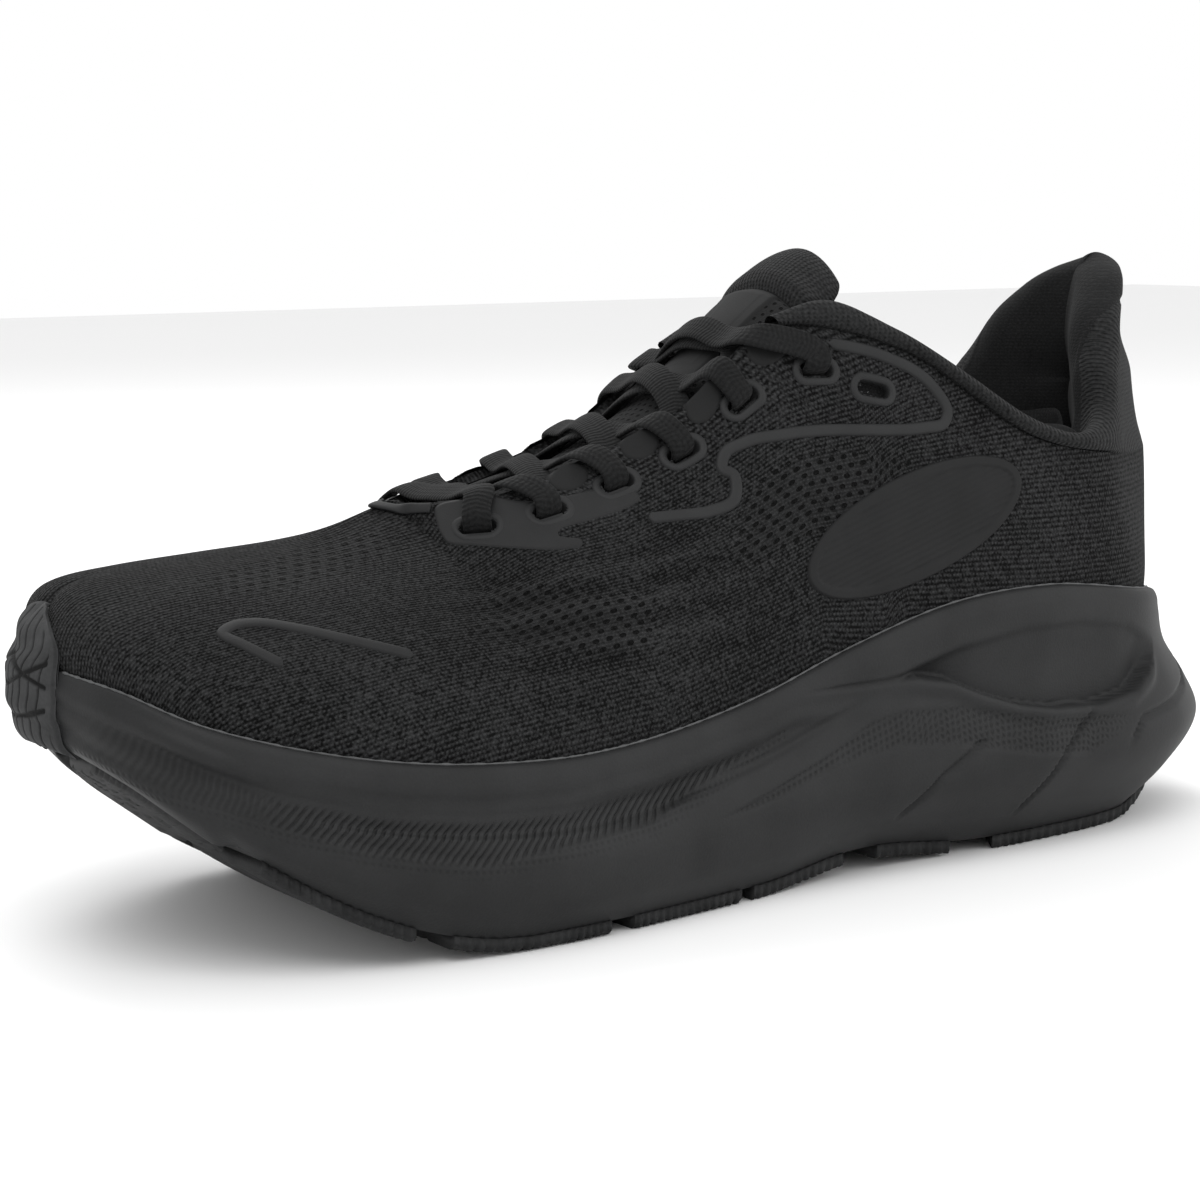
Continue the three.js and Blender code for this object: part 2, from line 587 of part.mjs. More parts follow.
const collarColumns = steps(0, COLLAR_SPAN, 2 * COLLAR_SPAN);
const LINING = 1.2;
add('collar_knit', 'collar', thicken(collarPoint, collarColumns, steps(1.12, 2, 3), 0, -1.6));
add('collar_foam', 'padding', thicken(collarPoint, collarColumns, [0, 0.5, 1, 1.5, 1.94],
  -KNIT - 2 * GAP, (c, r) => -KNIT - 2 * GAP - padding(c, r)));
add('collar_lining', 'lining', thicken(collarPoint, collarColumns, [0, 0.5, 1, 1.5, 2],
  (c, r) => -KNIT - 3 * GAP - padding(c, r), (c, r) => -KNIT - 3 * GAP - padding(c, r) - LINING));
const heelColumns = steps(11.8, LOOP - 11.8, 12);
add('heel_lining', 'lining', thicken((k, t) => upperPoint(k, lerp(0.03, padFloor(fold(k)) - 0.06, t)),
  heelColumns, [0, 0.5, 1], -KNIT - 2.4, -KNIT - 3.4));
add('heel_counter', 'plastic', thicken((k, t) => upperPoint(k, lerp(0.05, padFloor(fold(k)) - 0.09, t)),
  heelColumns, [0, 0.5, 1], -KNIT - GAP, -KNIT - 2));

// ---------------------------------------------------------------- films on the upper
// A film ribbon along (k, v) points on one side.
function ribbonOnUpper(side, path, width, base = 0.5, thick = FILM) {
  const centre = rail(path.map(([s, v]) => [side < 0 ? s : LOOP - s, v, 0]));
  const last = path.length - 1;
  return loft(steps(0, last, 2 * last).map((t) => {
    const { x: k, y: v } = centre(t);
    const next = centre(Math.min(t + 0.05, last));
    const before = centre(Math.max(t - 0.05, 0));
    const along = upperPoint(next.x, next.y).sub(upperPoint(before.x, before.y)).normalize();
    const normal = normalOf(upperPoint, k, v);
    const sideways = normal.clone().cross(along).normalize().multiplyScalar(width / 2);
    const middle = facetPoint(k, v);
    const at = (shift, height) => middle.clone().addScaledVector(sideways, shift)
      .addScaledVector(normal, height);
    return [at(-1, base), at(1, base), at(1, base + thick), at(-1, base + thick)];
  }));
}

// A film patch on one side, along (k, v) points with a half height in v at each point.
function patchOnUpper(side, rows, base = 0.5, thick = FILM) {
  const row = table(rows);
  const surface = (t, a) => {
    const [station, v, half] = row(t);
    return facetPoint(side < 0 ? station : LOOP - station, v + a * half);
  };
  const columns = steps(0, rows.length - 1, 3 * (rows.length - 1));
  const ordered = side < 0 ? columns : columns.reverse();
  return thicken(surface, ordered, [-1, -0.33, 0.33, 1], base + thick, base);
}

const EYESTAY = [[5.8, 0.74, 0.012], [6.3, 0.7, 0.02], [6.9, 0.695, 0.04], [7.5, 0.7, 0.045],
  [8.05, 0.745, 0.02]];
const EMBLEM = [[9.65, 0.2, 0.05], [10.3, 0.2, 0.13], [11, 0.27, 0.16], [11.6, 0.42, 0.15],
  [12.1, 0.58, 0.06]];
const CONTOUR_PATH = [
  [8.2, 0.68], [8.45, 0.655], [8.85, 0.615], [9.13, 0.62], [9.2, 0.68], [9.12, 0.73],
  [9.2, 0.765], [9.45, 0.745], [9.86, 0.685], [10.4, 0.665], [10.85, 0.7], [11.15, 0.78],
  [11.3, 0.88], [11.2, 0.94], [10.9, 0.953], [10.5, 0.953],
];
const TOE_STRIPE_PATH = [[5.05, 0.346], [4.56, 0.417], [4.18, 0.473], [3.85, 0.505],
  [3.56, 0.49], [3.43, 0.445], [3.57, 0.405], [3.9, 0.324]];
for (const side of [-1, 1]) {
  const name = sideName[side];
  add(`eyestay_film_${name}`, 'film', patchOnUpper(side, EYESTAY));
  add(`contour_film_${name}`, 'film', ribbonOnUpper(side, CONTOUR_PATH, 2.6));
  add(`toe_stripe_${name}`, 'film', ribbonOnUpper(side, TOE_STRIPE_PATH, 2.2));
  add(`side_emblem_${name}`, 'film', patchOnUpper(side, EMBLEM));
}

// ---------------------------------------------------------------- tongue
const tongueRow = table(TONGUE);
const TONGUE_LAST = TONGUE.length - 1;
function tonguePoint(row, across01) {
  const [x, z, half, radius, , lean] = tongueRow(row);
  const y = -half * across01;
  return new THREE.Vector3(x, y, z - lean * y - y * y / (2 * radius));
}
// Tongue surface above a given x and y.
function tongueTop(x, y) {
  let low = 0;
  let high = TONGUE_LAST;
  for (let i = 0; i < 24; i++) {
    const middle = (low + high) / 2;
    if (tongueRow(middle)[0] < x) low = middle;
    else high = middle;
  }
  const [, z, , radius, , lean] = tongueRow(low);
  return z - lean * y - y * y / (2 * radius);
}
const tongueThickness = (row, a) => -tongueRow(row)[4] * (1 - 0.45 * a * a);
add('tongue', 'collar', thicken(tonguePoint, steps(0, TONGUE_LAST, 2 * TONGUE_LAST),
  steps(-1, 1, 6).reverse(), 0, tongueThickness));
add('tongue_label', 'film', thicken(tonguePoint, steps(3.6, 6.2, 5), steps(-0.6, 0.6, 4).reverse(),
  0.65, 0.25));

// ---------------------------------------------------------------- lace
// One flat lace: a bar across the lowest eyelets, then two ends that cross over the
// tongue five times, each passing under one edge of the throat, over the other and down
// into the next eyelet. Every path point carries the direction of the lace's width.
const UNDER = -KNIT - 1.35;    // lace centre below the upper's outer face
const OVER = 1.85;             // and above it
const OVER_RING = 2;
const PAST_EDGE = 1.5;
const LOW_STRAND = 2.35;       // heights of the two strands over the tongue where they cross
const HIGH_STRAND = 4.1;

const waypoint = (place, across3, width = LACE_WIDTH) => ({ place, across3, width });
const inEyelet = (side, i, rise, shift) => {
  const frame = eyeletFrame(side, i);
  const place = frame.centre.clone().addScaledVector(frame.normal, rise).addScaledVector(frame.away, shift);
  return waypoint(place, frame.along, SLOT_WIDTH);
};
// A point above or below the throat's edge, a little up the throat from an eyelet.
const atEdge = (side, i, climb, rise) => {
  const [k] = eyeletAt(side, i);
  const shifted = k - side * climb;
  const along = topEdge(shifted + 0.1).sub(topEdge(shifted - 0.1)).multiplyScalar(-side).normalize();
  const place = topEdge(shifted).addScaledVector(normalOf(upperPoint, shifted, 1), rise);
  return waypoint(place.setY(place.y - side * PAST_EDGE), along);
};

// Three points over the tongue between two edge points.
function overTongue(from, to, height) {
  return [0.25, 0.5, 0.75].map((t) => {
    const p = from.place.clone().lerp(to.place, t);
    const along = new THREE.Vector3(4, 0, tongueTop(p.x + 2, 0) - tongueTop(p.x - 2, 0)).normalize();
    const near = t === 0.5 ? height : height - 0.4;
    return waypoint(p.setZ(Math.max(tongueTop(p.x, p.y) + near / along.x, p.z - 1)), along);
  });
}

function strand(side, i, height) {
  const start = atEdge(side, i, 0.2, UNDER);
  const end = i === 5 ? atEdge(-side, 6, -0.48, OVER + 0.6) : atEdge(-side, i + 1, -0.12, OVER + 0.1);
  return [inEyelet(side, i, -KNIT / 2, 0), inEyelet(side, i, UNDER - 0.6, -1.3),
    inEyelet(side, i, UNDER, -4), start, ...overTongue(start, end, height), end,
    inEyelet(-side, i + 1, OVER_RING, -3.6), inEyelet(-side, i + 1, 1.6, -0.9)];
}

// One end of the lace, from its lowest eyelet to the top one on the other side.
function laceEnd(side) {
  const strands = [1, 2, 3, 4, 5].flatMap((i) => {
    const from = i % 2 ? side : -side;
    const onTop = i === 5 ? from > 0 : from < 0;
    return strand(from, i, onTop ? HIGH_STRAND : LOW_STRAND);
  });
  return [...strands, inEyelet(-side, 6, -KNIT / 2, 0), inEyelet(-side, 6, UNDER - 0.8, 0.8)];
}

function lowestBar() {
  const [from, to] = [-1, 1].map((side) => atEdge(side, 1, 0.3, OVER));
  const rise = (side) => [inEyelet(side, 1, 1.6, -0.9), inEyelet(side, 1, OVER_RING, -3.6)];
  return [...rise(-1), from, ...overTongue(from, to, HIGH_STRAND), to, ...rise(1).reverse()];
}

// Solid band through waypoints.
function band(waypoints, perSpan = 2) {
  const places = rail(waypoints.map(({ place }) => place.toArray()));
  const acrosses = rail(waypoints.map(({ across3 }) => across3.toArray()));
  const widths = table(waypoints.map(({ width }) => [width]));
  const last = waypoints.length - 1;
  return loft(steps(0, last, perSpan * last).map((t) => {
    const centre = places(t);
    const along = places(Math.min(t + 0.02, last)).sub(places(Math.max(t - 0.02, 0))).normalize();
    const side = acrosses(t).projectOnPlane(along).normalize();
    const face = along.clone().cross(side).multiplyScalar(LACE_THICK / 2);
    side.multiplyScalar(widths(t)[0] / 2);
    const corner = (a, b) => centre.clone().addScaledVector(side, a).addScaledVector(face, b);
    return [corner(-1, -1), corner(1, -1), corner(1, 1), corner(-1, 1)];
  }));
}

add('lace', 'lace', band([...laceEnd(-1).reverse(), ...lowestBar(), ...laceEnd(1)]));

// The free ends drop inside the shoe behind the top eyelets and lie on the sockliner.
const TAIL_ON_WALL = [[10.36, 0.78], [10.45, 0.6], [10.6, 0.42], [10.75, 0.24], [10.9, 0.08]];
const TAIL_ON_BED = [[47, 25], [51, 21.5], [58, 18.5], [68, 17.5], [80, 17], [91, 16], [99, 12.5],
  [101, 8.5], [97, 5.5], [87, 5], [74, 6.5], [60, 8], [46, 8.5], [32, 8], [18, 7.5]];
const bedTop = (x) => footbed(x) + SOCKLINER_BASE + SOCKLINER_THICK;

function tail(side) {
  const top = inEyelet(side, 6, UNDER - 1.3, 3.2);
  const wall = TAIL_ON_WALL.map(([station, v]) => {
    const k = side < 0 ? station : LOOP - station;
    const along = upperPoint(k + 0.1, v).sub(upperPoint(k - 0.1, v)).multiplyScalar(-side).normalize();
    return waypoint(upperPoint(k, v).addScaledVector(normalOf(upperPoint, k, v), UNDER - 0.8), along);
  });
  const bed = TAIL_ON_BED.map(([x, y], i) => {
    const before = TAIL_ON_BED[Math.max(i - 1, 0)];
    const after = TAIL_ON_BED[Math.min(i + 1, TAIL_ON_BED.length - 1)];
    const level = new THREE.Vector3(before[1] - after[1], side * (after[0] - before[0]), 0).normalize();
    const lift = i === 0 ? 4.5 : LACE_THICK / 2 + 0.35;
    const across3 = level.multiplyScalar(-side);
    return waypoint(new THREE.Vector3(x, side * y, bedTop(x) + lift), across3);
  });
  return [top, ...wall, ...bed];
}

// Stiff tip on the end of a tail, lying on the sockliner.
function aglet(side) {
  const [x, y] = TAIL_ON_BED.at(-1);
  const geometry = new THREE.CylinderGeometry(1.5, 1.5, 20, 8);
  geometry.deleteAttribute('uv');
  geometry.deleteAttribute('normal');
  const mesh = mergeVertices(geometry);
  mesh.rotateZ(Math.PI / 2);
  const slope = Math.atan2(bedTop(x) - bedTop(x - 20), 20);
  mesh.rotateY(-slope);
  mesh.translate(x - 10.4, side * y, bedTop(x - 10.4) + 1.5 + 0.45);
  return mesh;
}

// Narrow tape round the front of the throat.
const TRIM_STATIONS = [6.42, 6.26, 6.1];
const TRIM_WIDTH = 2.4;
const trimPoint = (k) => {
  const outwards = upperPoint(k, 0.93).sub(upperPoint(k, 0.97)).normalize();
  const place = facetPoint(k, 0.95).addScaledVector(normalOf(upperPoint, k, 0.95), 1.15);
  return waypoint(place, outwards, TRIM_WIDTH);
};
const trimFront = ridge(5.84);
add('throat_trim', 'film', band([
  ...TRIM_STATIONS.map(trimPoint),
  waypoint(trimFront.setZ(trimFront.z + 1.7), new THREE.Vector3(-0.95, 0, -0.3), TRIM_WIDTH),
  ...TRIM_STATIONS.map((k) => trimPoint(LOOP - k)).reverse(),
]));

for (const side of [-1, 1]) {
  add(`lace_tail_${sideName[side]}`, 'lace', band(tail(side)));
  add(`aglet_${sideName[side]}`, 'plastic', aglet(side));
}

export default shoe;
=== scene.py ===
"""Looks of a cushioned road running shoe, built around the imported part."""
import bmesh
import bpy
import math
import numpy as np
from mathutils import Matrix, Vector


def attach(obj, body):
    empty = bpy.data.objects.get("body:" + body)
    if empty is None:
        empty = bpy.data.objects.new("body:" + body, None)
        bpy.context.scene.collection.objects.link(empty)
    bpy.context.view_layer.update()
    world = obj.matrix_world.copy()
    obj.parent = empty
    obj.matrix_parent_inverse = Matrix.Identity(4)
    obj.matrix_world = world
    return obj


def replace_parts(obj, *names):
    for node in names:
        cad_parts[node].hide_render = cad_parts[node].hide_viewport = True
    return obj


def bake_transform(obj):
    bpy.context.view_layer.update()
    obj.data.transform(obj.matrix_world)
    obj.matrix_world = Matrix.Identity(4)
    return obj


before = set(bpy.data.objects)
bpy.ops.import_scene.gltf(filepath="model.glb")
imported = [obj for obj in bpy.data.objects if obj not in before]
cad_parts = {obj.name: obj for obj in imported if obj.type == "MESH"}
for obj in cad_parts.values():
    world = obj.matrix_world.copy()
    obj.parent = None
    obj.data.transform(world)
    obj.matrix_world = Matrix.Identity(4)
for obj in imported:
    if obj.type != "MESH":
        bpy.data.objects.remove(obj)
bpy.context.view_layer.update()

MM = 0.001
TAU = 2 * math.pi
UP = np.array([0, 0, 1.0])
WELD_GAP = 2e-6            # metres

# ---------------------------------------------------------------- camera
AZIMUTH = -0.5796          # radians; the camera stands in front of the lateral side
ELEVATION = 0.140          # radians
ROLL = 0.0078              # radians
DISTANCE = 606.0           # mm from the point looked at
TARGET = (-13.63, 0.0, 57.42)
SENSOR = 36.0              # mm
LENS = 85.4                # mm
SHIFT = (-0.0070, 0.0028)  # in sensor widths
CLIP = (0.02, 20)          # metres


def place_camera():
    """The camera of the photo, fitted to the outline of the shoe."""
    back = Vector((math.sin(AZIMUTH) * math.cos(ELEVATION),
                   -math.cos(AZIMUTH) * math.cos(ELEVATION), math.sin(ELEVATION)))
    data = bpy.data.cameras.new("camera")
    data.sensor_width = SENSOR
    data.lens = LENS
    data.shift_x, data.shift_y = SHIFT
    data.clip_start, data.clip_end = CLIP
    camera = bpy.data.objects.new("camera", data)
    bpy.context.scene.collection.objects.link(camera)
    camera.location = (Vector(TARGET) + back * DISTANCE) * MM
    turn = back.to_track_quat("Z", "Y").to_matrix().to_4x4()
    camera.rotation_euler = (turn @ Matrix.Rotation(-ROLL, 4, "Z")).to_euler()
    bpy.context.scene.camera = camera


place_camera()
bpy.context.scene.view_settings.view_transform = "Standard"

# ---------------------------------------------------------------- driving shape, mm
# Stations run round the shoe: 0 at the toe, 14 at the heel along the lateral side, and back
# to 28 along the medial side.
STATIONS = 14
LOOP = 28
THROAT_FRONT = 6           # station of the throat's front end
KNIT = 2.2                 # thickness of the upper
LACE_WIDTH = 6.5
LACE_THICK = 1.2
SLOT_WIDTH = 5.8           # width of the lace where it is folded through a hole
EYELET = (7.6, 3.2)        # length and width of a lace hole
RUBBER = 3.0               # thickness of the tread
# Where the upper meets the foam.
FEATHER_LATERAL = [
  [-143.8, -1.5, 57], [-142, -15, 56], [-137.5, -28.5, 54], [-127.5, -40.5, 48.5],
  [-110, -47.5, 43], [-87, -50.5, 38.5], [-60, -49, 36], [-43, -46.5, 36], [-24, -44, 38],
  [-3, -41.5, 42.2], [20, -40, 49.3], [48, -39.5, 56.2], [75, -39, 57.8], [109, -31.5, 53.5],
  [133, 0, 49.5],
]
FEATHER_MEDIAL = [
  [-143.8, -1.5, 57], [-138.5, 14.5, 56.5], [-132.5, 28, 54], [-121, 41, 48.5],
  [-105.5, 48, 43.5], [-86, 50, 39], [-60, 45.5, 36.5], [-43, 41.5, 37.5], [-24, 37.5, 40],
  [-3, 35, 44.5], [20, 34.5, 50.5], [48, 36.5, 55.5], [75, 38, 57], [109, 31.5, 53.5],
  [133, 0, 49.5],
]
# The widest line of the foam.
FLARE_LATERAL = [
  [-145.2, -1.5, 48.5], [-143.4, -15.5, 46.5], [-138, -31, 41.5], [-126, -43, 34],
  [-107, -51, 26], [-85, -55, 21], [-60, -55.5, 17], [-43, -54, 16], [-24, -51, 16.5],
  [-3, -48, 18], [20, -46.5, 19], [48, -46.5, 20], [77, -46.5, 21], [119, -38, 22],
  [149.8, 0, 23],
]
FLARE_MEDIAL = [
  [-145.2, -1.5, 48.5], [-139.2, 15.5, 48], [-133, 30, 44], [-120, 43.5, 36], [-103.5, 52, 27],
  [-84, 55.5, 21], [-60, 51, 17], [-43, 47, 17], [-24, 43.5, 19], [-3, 41.5, 21],
  [20, 41.5, 22], [48, 43, 22], [77, 45, 22], [119, 38, 22], [149.8, 0, 23],
]
# The foam's bottom edge, seen from above.
FOOT_LATERAL = [
  [-140.5, -1], [-139, -14], [-134, -28.5], [-121, -39.5], [-104, -46], [-85, -49],
  [-60, -49.5], [-43, -48], [-24, -45], [-3, -41], [20, -36.5], [48, -34], [76, -33.5],
  [112, -26], [141, 0],
]
FOOT_MEDIAL = [
  [-140.5, -1], [-134.5, 13.5], [-126.5, 27.5], [-114, 39], [-100, 46.5], [-84, 49],
  [-60, 44.5], [-43, 39.5], [-24, 35], [-3, 32.5], [20, 32], [48, 33.5], [76, 33.5],
  [112, 26], [141, 0],
]
# The middle line over the toe, up to the throat.
RIDGE = [
  [-138, 3, 66.8], [-134, 4, 70.2], [-127, 5, 72.4], [-115, 5, 73.6], [-100, 4.5, 74.8],
  [-84, 3.5, 76.6], [-66, 1, 82.6],
]
# The top edge of the knit, from the throat's front end to the heel.
OPENING_LATERAL = [
  [-66, 1, 82.6], [-52, -16, 84.5], [-30, -17.5, 91], [-8, -19, 100], [13, -21, 115.5],
  [42, -28.5, 110.8], [74, -35.5, 90.8], [101, -32.5, 85.5], [132.5, 0, 85],
]
OPENING_MEDIAL = [
  [-66, 1, 82.6], [-52, 17.5, 82.4], [-30, 18.5, 87.6], [-8, 19.5, 95.4], [13, 21, 108.5],
  [42, 28, 108.5], [74, 35.5, 91], [101, 32.5, 85.5], [132.5, 0, 85],
]
# How far the upper bulges at each station: low handle out and up, high handle out and down.
SWELL = [
  [1.5, 5, 2, 2.8], [1.5, 8, 7, 1], [1.5, 12, 14, 0.6], [1.5, 15, 21, 0.8], [1.5, 18, 26, 1.5],
  [1.5, 23, 28, 3], [1.5, 26, 22, 9], [1.5, 26, 14, 10], [1, 26, 13, 13], [1, 27, 12, 17],
  [1, 28, 9, 24], [0.5, 22, 5, 22], [0.5, 12, 1.5, 14], [1, 11, 1, 12], [1.5, 12, 1.5, 12],
]
# Collar: station of the seam, point on the rim, bow, padding at the seam and at the rim.
COLLAR = [
  [10.1, [13.5, -19.8, 118.8], 1, 1.2, 1.0], [10.5, [27, -23, 122.2], 1.5, 1.4, 1.2],
  [11, [42, -26.5, 116], 2, 2, 1.6], [11.5, [58, -31, 106], 2.5, 3.5, 2.4],
  [12, [74, -33.5, 96], 3, 5.5, 3.4], [12.5, [87, -33.5, 92.2], 4, 7.5, 4.4],
  [13, [98.5, -31.5, 97], 3, 8.5, 4.6], [13.4, [106, -26.5, 107.5], 0, 8, 3.8],
  [13.7, [112.5, -19.5, 119], -3, 6, 3], [13.9, [120, -10, 128], -4, 5, 2.6],
  [14, [125, 0, 131.8], -5, 5, 2.6],
]
# How much lower the medial rim is, row by row.
MEDIAL_DROP = [7, 5, 1.5, 0, 0, 0, 0.5, 2, 1, 0, 0]
# Tongue: x, z, half width, crown radius, thickness and sideways lean.
TONGUE = [
  [-60, 75.4, 16.5, 36, 3.5, 0.05], [-51, 79.6, 18, 32, 4.5, 0.08], [-30, 87, 17.5, 28, 5.5, 0.09],
  [-8, 98, 16.5, 26, 5.5, 0.11], [6, 108.2, 14, 24, 6, 0.12], [18, 118.2, 12.8, 34, 7, 0.05],
  [26, 124.6, 14.2, 45, 8, 0], [32, 128.6, 12.8, 42, 7.5, 0], [36.5, 130.2, 9.5, 38, 6, 0],
  [39, 129.8, 5.5, 36, 4, 0],
]
EMBLEM_MIDDLE = (10.75, 0.3)       # station and v
EMBLEM_HALF = (31.0, 11.0)         # half length and half height in the side view
EMBLEM_TILT = 0.3                  # radians
EMBLEM_RIB = 1.3
# Film lines, as station and v. v is 0 where the upper meets the foam and 1 at its top edge.
CONTOUR_PATH = [
  [8.2, 0.68], [8.45, 0.655], [8.85, 0.615], [9.13, 0.62], [9.2, 0.68], [9.12, 0.73],
  [9.2, 0.765], [9.45, 0.745], [9.86, 0.685], [10.4, 0.665], [10.82, 0.685], [11.06, 0.72],
  [11.25, 0.785], [11.3, 0.86], [11.2, 0.925], [10.9, 0.953], [10.45, 0.953],
]
TOE_STRIPE_PATH = [
  [5.05, 0.346], [4.56, 0.417], [4.18, 0.473], [3.85, 0.505], [3.56, 0.49], [3.43, 0.445],
  [3.57, 0.405], [3.9, 0.324],
]


# ---------------------------------------------------------------- curves and surfaces
def unit(v):
    """Vectors at length 1."""
    return v / np.maximum(np.linalg.norm(v, axis=-1, keepdims=True), 1e-9)


def smooth(x, low, high):
    """0 up to low, 1 from high on, with a smooth step between them."""
    t = np.clip((np.asarray(x, float) - low) / (high - low), 0, 1)
    return t * t * (3 - 2 * t)


def bump(x, centre, half):
    """1 at the centre, falling smoothly to 0 at half a width away."""
    return 1 - smooth(np.abs(np.asarray(x, float) - centre), 0, half)


def window(x, start, open_from, open_to, end):
    """1 between open_from and open_to, falling smoothly to 0 at start and end."""
    return smooth(x, start, open_from) * smooth(-np.asarray(x), -end, -open_to)


def mix(a, b, t):
    return a * (1 - t) + b * t


def pair(a, b):
    """Two coordinates per point, such as a uv."""
    return np.stack(np.broadcast_arrays(a, b), -1)


class Rail:
    """A smooth curve through points, read by point number."""

    def __init__(self, points, closed=False):
        p = np.array([list(q) + [0] * (3 - len(q)) for q in points], float)
        self.closed = closed
        self.spans = len(p) if closed else len(p) - 1
        if closed:
            ring = [np.roll(p, shift, axis=0) for shift in (1, 0, -1, -2)]
        else:
            ends = np.vstack([2 * p[0] - p[1], p, 2 * p[-1] - p[-2]])
            ring = [ends[i:i + self.spans] for i in range(4)]
        a, b, c, d = ring
        gaps = [np.linalg.norm(x - y, axis=1)[:, None] for x, y in ((b, a), (c, b), (d, c))]
        d0, d1, d2 = [np.maximum(np.sqrt(g), 1e-4) for g in gaps]
        t1 = ((b - a) / d0 - (c - a) / (d0 + d1) + (c - b) / d1) * d1
        t2 = ((c - b) / d1 - (d - b) / (d1 + d2) + (d - c) / d2) * d1
        self.terms = (b, t1, -3 * b + 3 * c - 2 * t1 - t2, 2 * b - 2 * c + t1 + t2)

    def __call__(self, station):
        s = np.asarray(station, float)
        s = s % self.spans if self.closed else s
        i = np.clip(np.floor(s).astype(int), 0, self.spans - 1)
        w = (s - i)[..., None]
        b, t1, t2, t3 = [term[i] for term in self.terms]
        return b + t1 * w + t2 * w ** 2 + t3 * w ** 3


def loop_rail(lateral, medial):
    """A closed curve round the shoe from its two sides."""
    return Rail(list(lateral) + list(medial[1:-1])[::-1], closed=True)


class Table:
    """Smooth rows of numbers read by row number."""

    def __init__(self, rows):
        self.rows = np.array(rows, float)

    def __call__(self, index):
        x = np.asarray(index, float)
        last = len(self.rows) - 1
        i = np.clip(np.floor(x).astype(int), 0, last - 1)
        t = (x - i)[..., None]
        a, b, d, e = [self.rows[np.clip(i + j, 0, last)] for j in (-1, 0, 1, 2)]
        return b + 0.5 * t * (d - a + t * (2 * a - 5 * b + 4 * d - e + t * (3 * (b - d) + e - a)))


feather = loop_rail(FEATHER_LATERAL, FEATHER_MEDIAL)
flare = loop_rail(FLARE_LATERAL, FLARE_MEDIAL)
foot = loop_rail(FOOT_LATERAL, FOOT_MEDIAL)
ridge = Rail(RIDGE)
opening = loop_rail(OPENING_LATERAL, OPENING_MEDIAL)
swell = Table(SWELL)


def fold(k):
    """The lateral station level with station k."""
    k = np.asarray(k, float) % LOOP
    return np.minimum(k, LOOP - k)


def on_side(station, side):
    """A station on the lateral side (-1), or its mirror on the medial side (1)."""
    return station if side < 0 else LOOP - station


def outward(k):
    """Level direction away from the shoe at stations k."""
    along = feather(np.asarray(k) + 0.02) - feather(np.asarray(k) - 0.02)
    return unit(np.stack([along[..., 1], -along[..., 0], 0 * along[..., 0]], -1))


def top_edge(k):
    """The upper's top edge: the middle line in front, the opening behind."""
    k = np.asarray(k, float) % LOOP
    s = fold(k)
    closed = (s <= THROAT_FRONT)[..., None]
    return np.where(closed, ridge(np.minimum(s, THROAT_FRONT)), opening(k - THROAT_FRONT))


BALL_X = -62               # the sole leaves the ground in front of this
BEVEL_X = 104              # and behind this
ARCH_RISE = 2.6


def ground(p):
    """Height of the sole's underside: toe spring, heel bevel and a shallow arch between them."""
    x, y = p[..., 0], p[..., 1]
    rocker = 0.0067 * np.minimum(x - BALL_X, 0) ** 2
    medial_lift = 0.1 * np.maximum(y, 0) * smooth(-x, 70, 118)
    rocker = rocker + np.where(x < BALL_X, medial_lift, 0)
    bevel = 0.0085 * np.maximum(x - BEVEL_X, 0) ** 2
    arch = ARCH_RISE * np.sin(np.clip((x + 6) / 68, 0, 1) * math.pi) ** 2
    return rocker + bevel + arch


def footbed(x):
    """Height of the foam's top under the foot."""
    return 28.5 + 9 * smooth(x, -60, 70) + 0.0031 * np.minimum(x + 60, 0) ** 2


def bezier(a, b, c, d, t):
    """A curve from a to d with handles b and c."""
    w = 1 - t
    return a * w ** 3 + 3 * b * w * w * t + 3 * c * w * t * t + d * t ** 3


def heel_fill(p):
    """Rounds the heel out behind, below the pinch in its tab."""
    p = p.copy()
    behind = smooth(p[..., 0], 106, 124)
    level = smooth(p[..., 2], 60, 88) * smooth(-p[..., 2], -113, -102)
    p[..., 0] += behind * (2.3 * level + 1.7 * bump(p[..., 2], 102, 13))
    return p


def upper_point(k, v):
    """The outer face of the upper: v is 0 where it meets the foam and 1 at its top edge."""
    return heel_fill(bare_upper(k, v))


def bare_upper(k, v):
    """The upper's outer face before the heel is filled out."""
    k, v = np.broadcast_arrays(np.asarray(k, float), np.asarray(v, float))
    base = feather(k)
    out = outward(k)
    s = swell(fold(k))
    low = base + out * s[..., :1]
    low[..., 2] += s[..., 1]
    top = top_edge(k)
    high = top + out * s[..., 2:3]
    high[..., 2] -= s[..., 3]
    return bezier(base, low, high, top, v[..., None])


def upper_normal(k, v):
    """Outward normal of the upper."""
    k, v = np.broadcast_arrays(np.asarray(k, float), np.asarray(v, float))
    step = 0.01
    high = np.minimum(v + step, 1)
    along = upper_point(k + step, v) - upper_point(k - step, v)
    upward = upper_point(k, high) - upper_point(k, high - 2 * step)
    return unit(np.cross(along, upward))


def on_upper(k, v, height):
    """Points at a height in mm above the upper."""
    height = np.asarray(height, float)[..., None]
    return upper_point(k, v) + upper_normal(k, v) * height


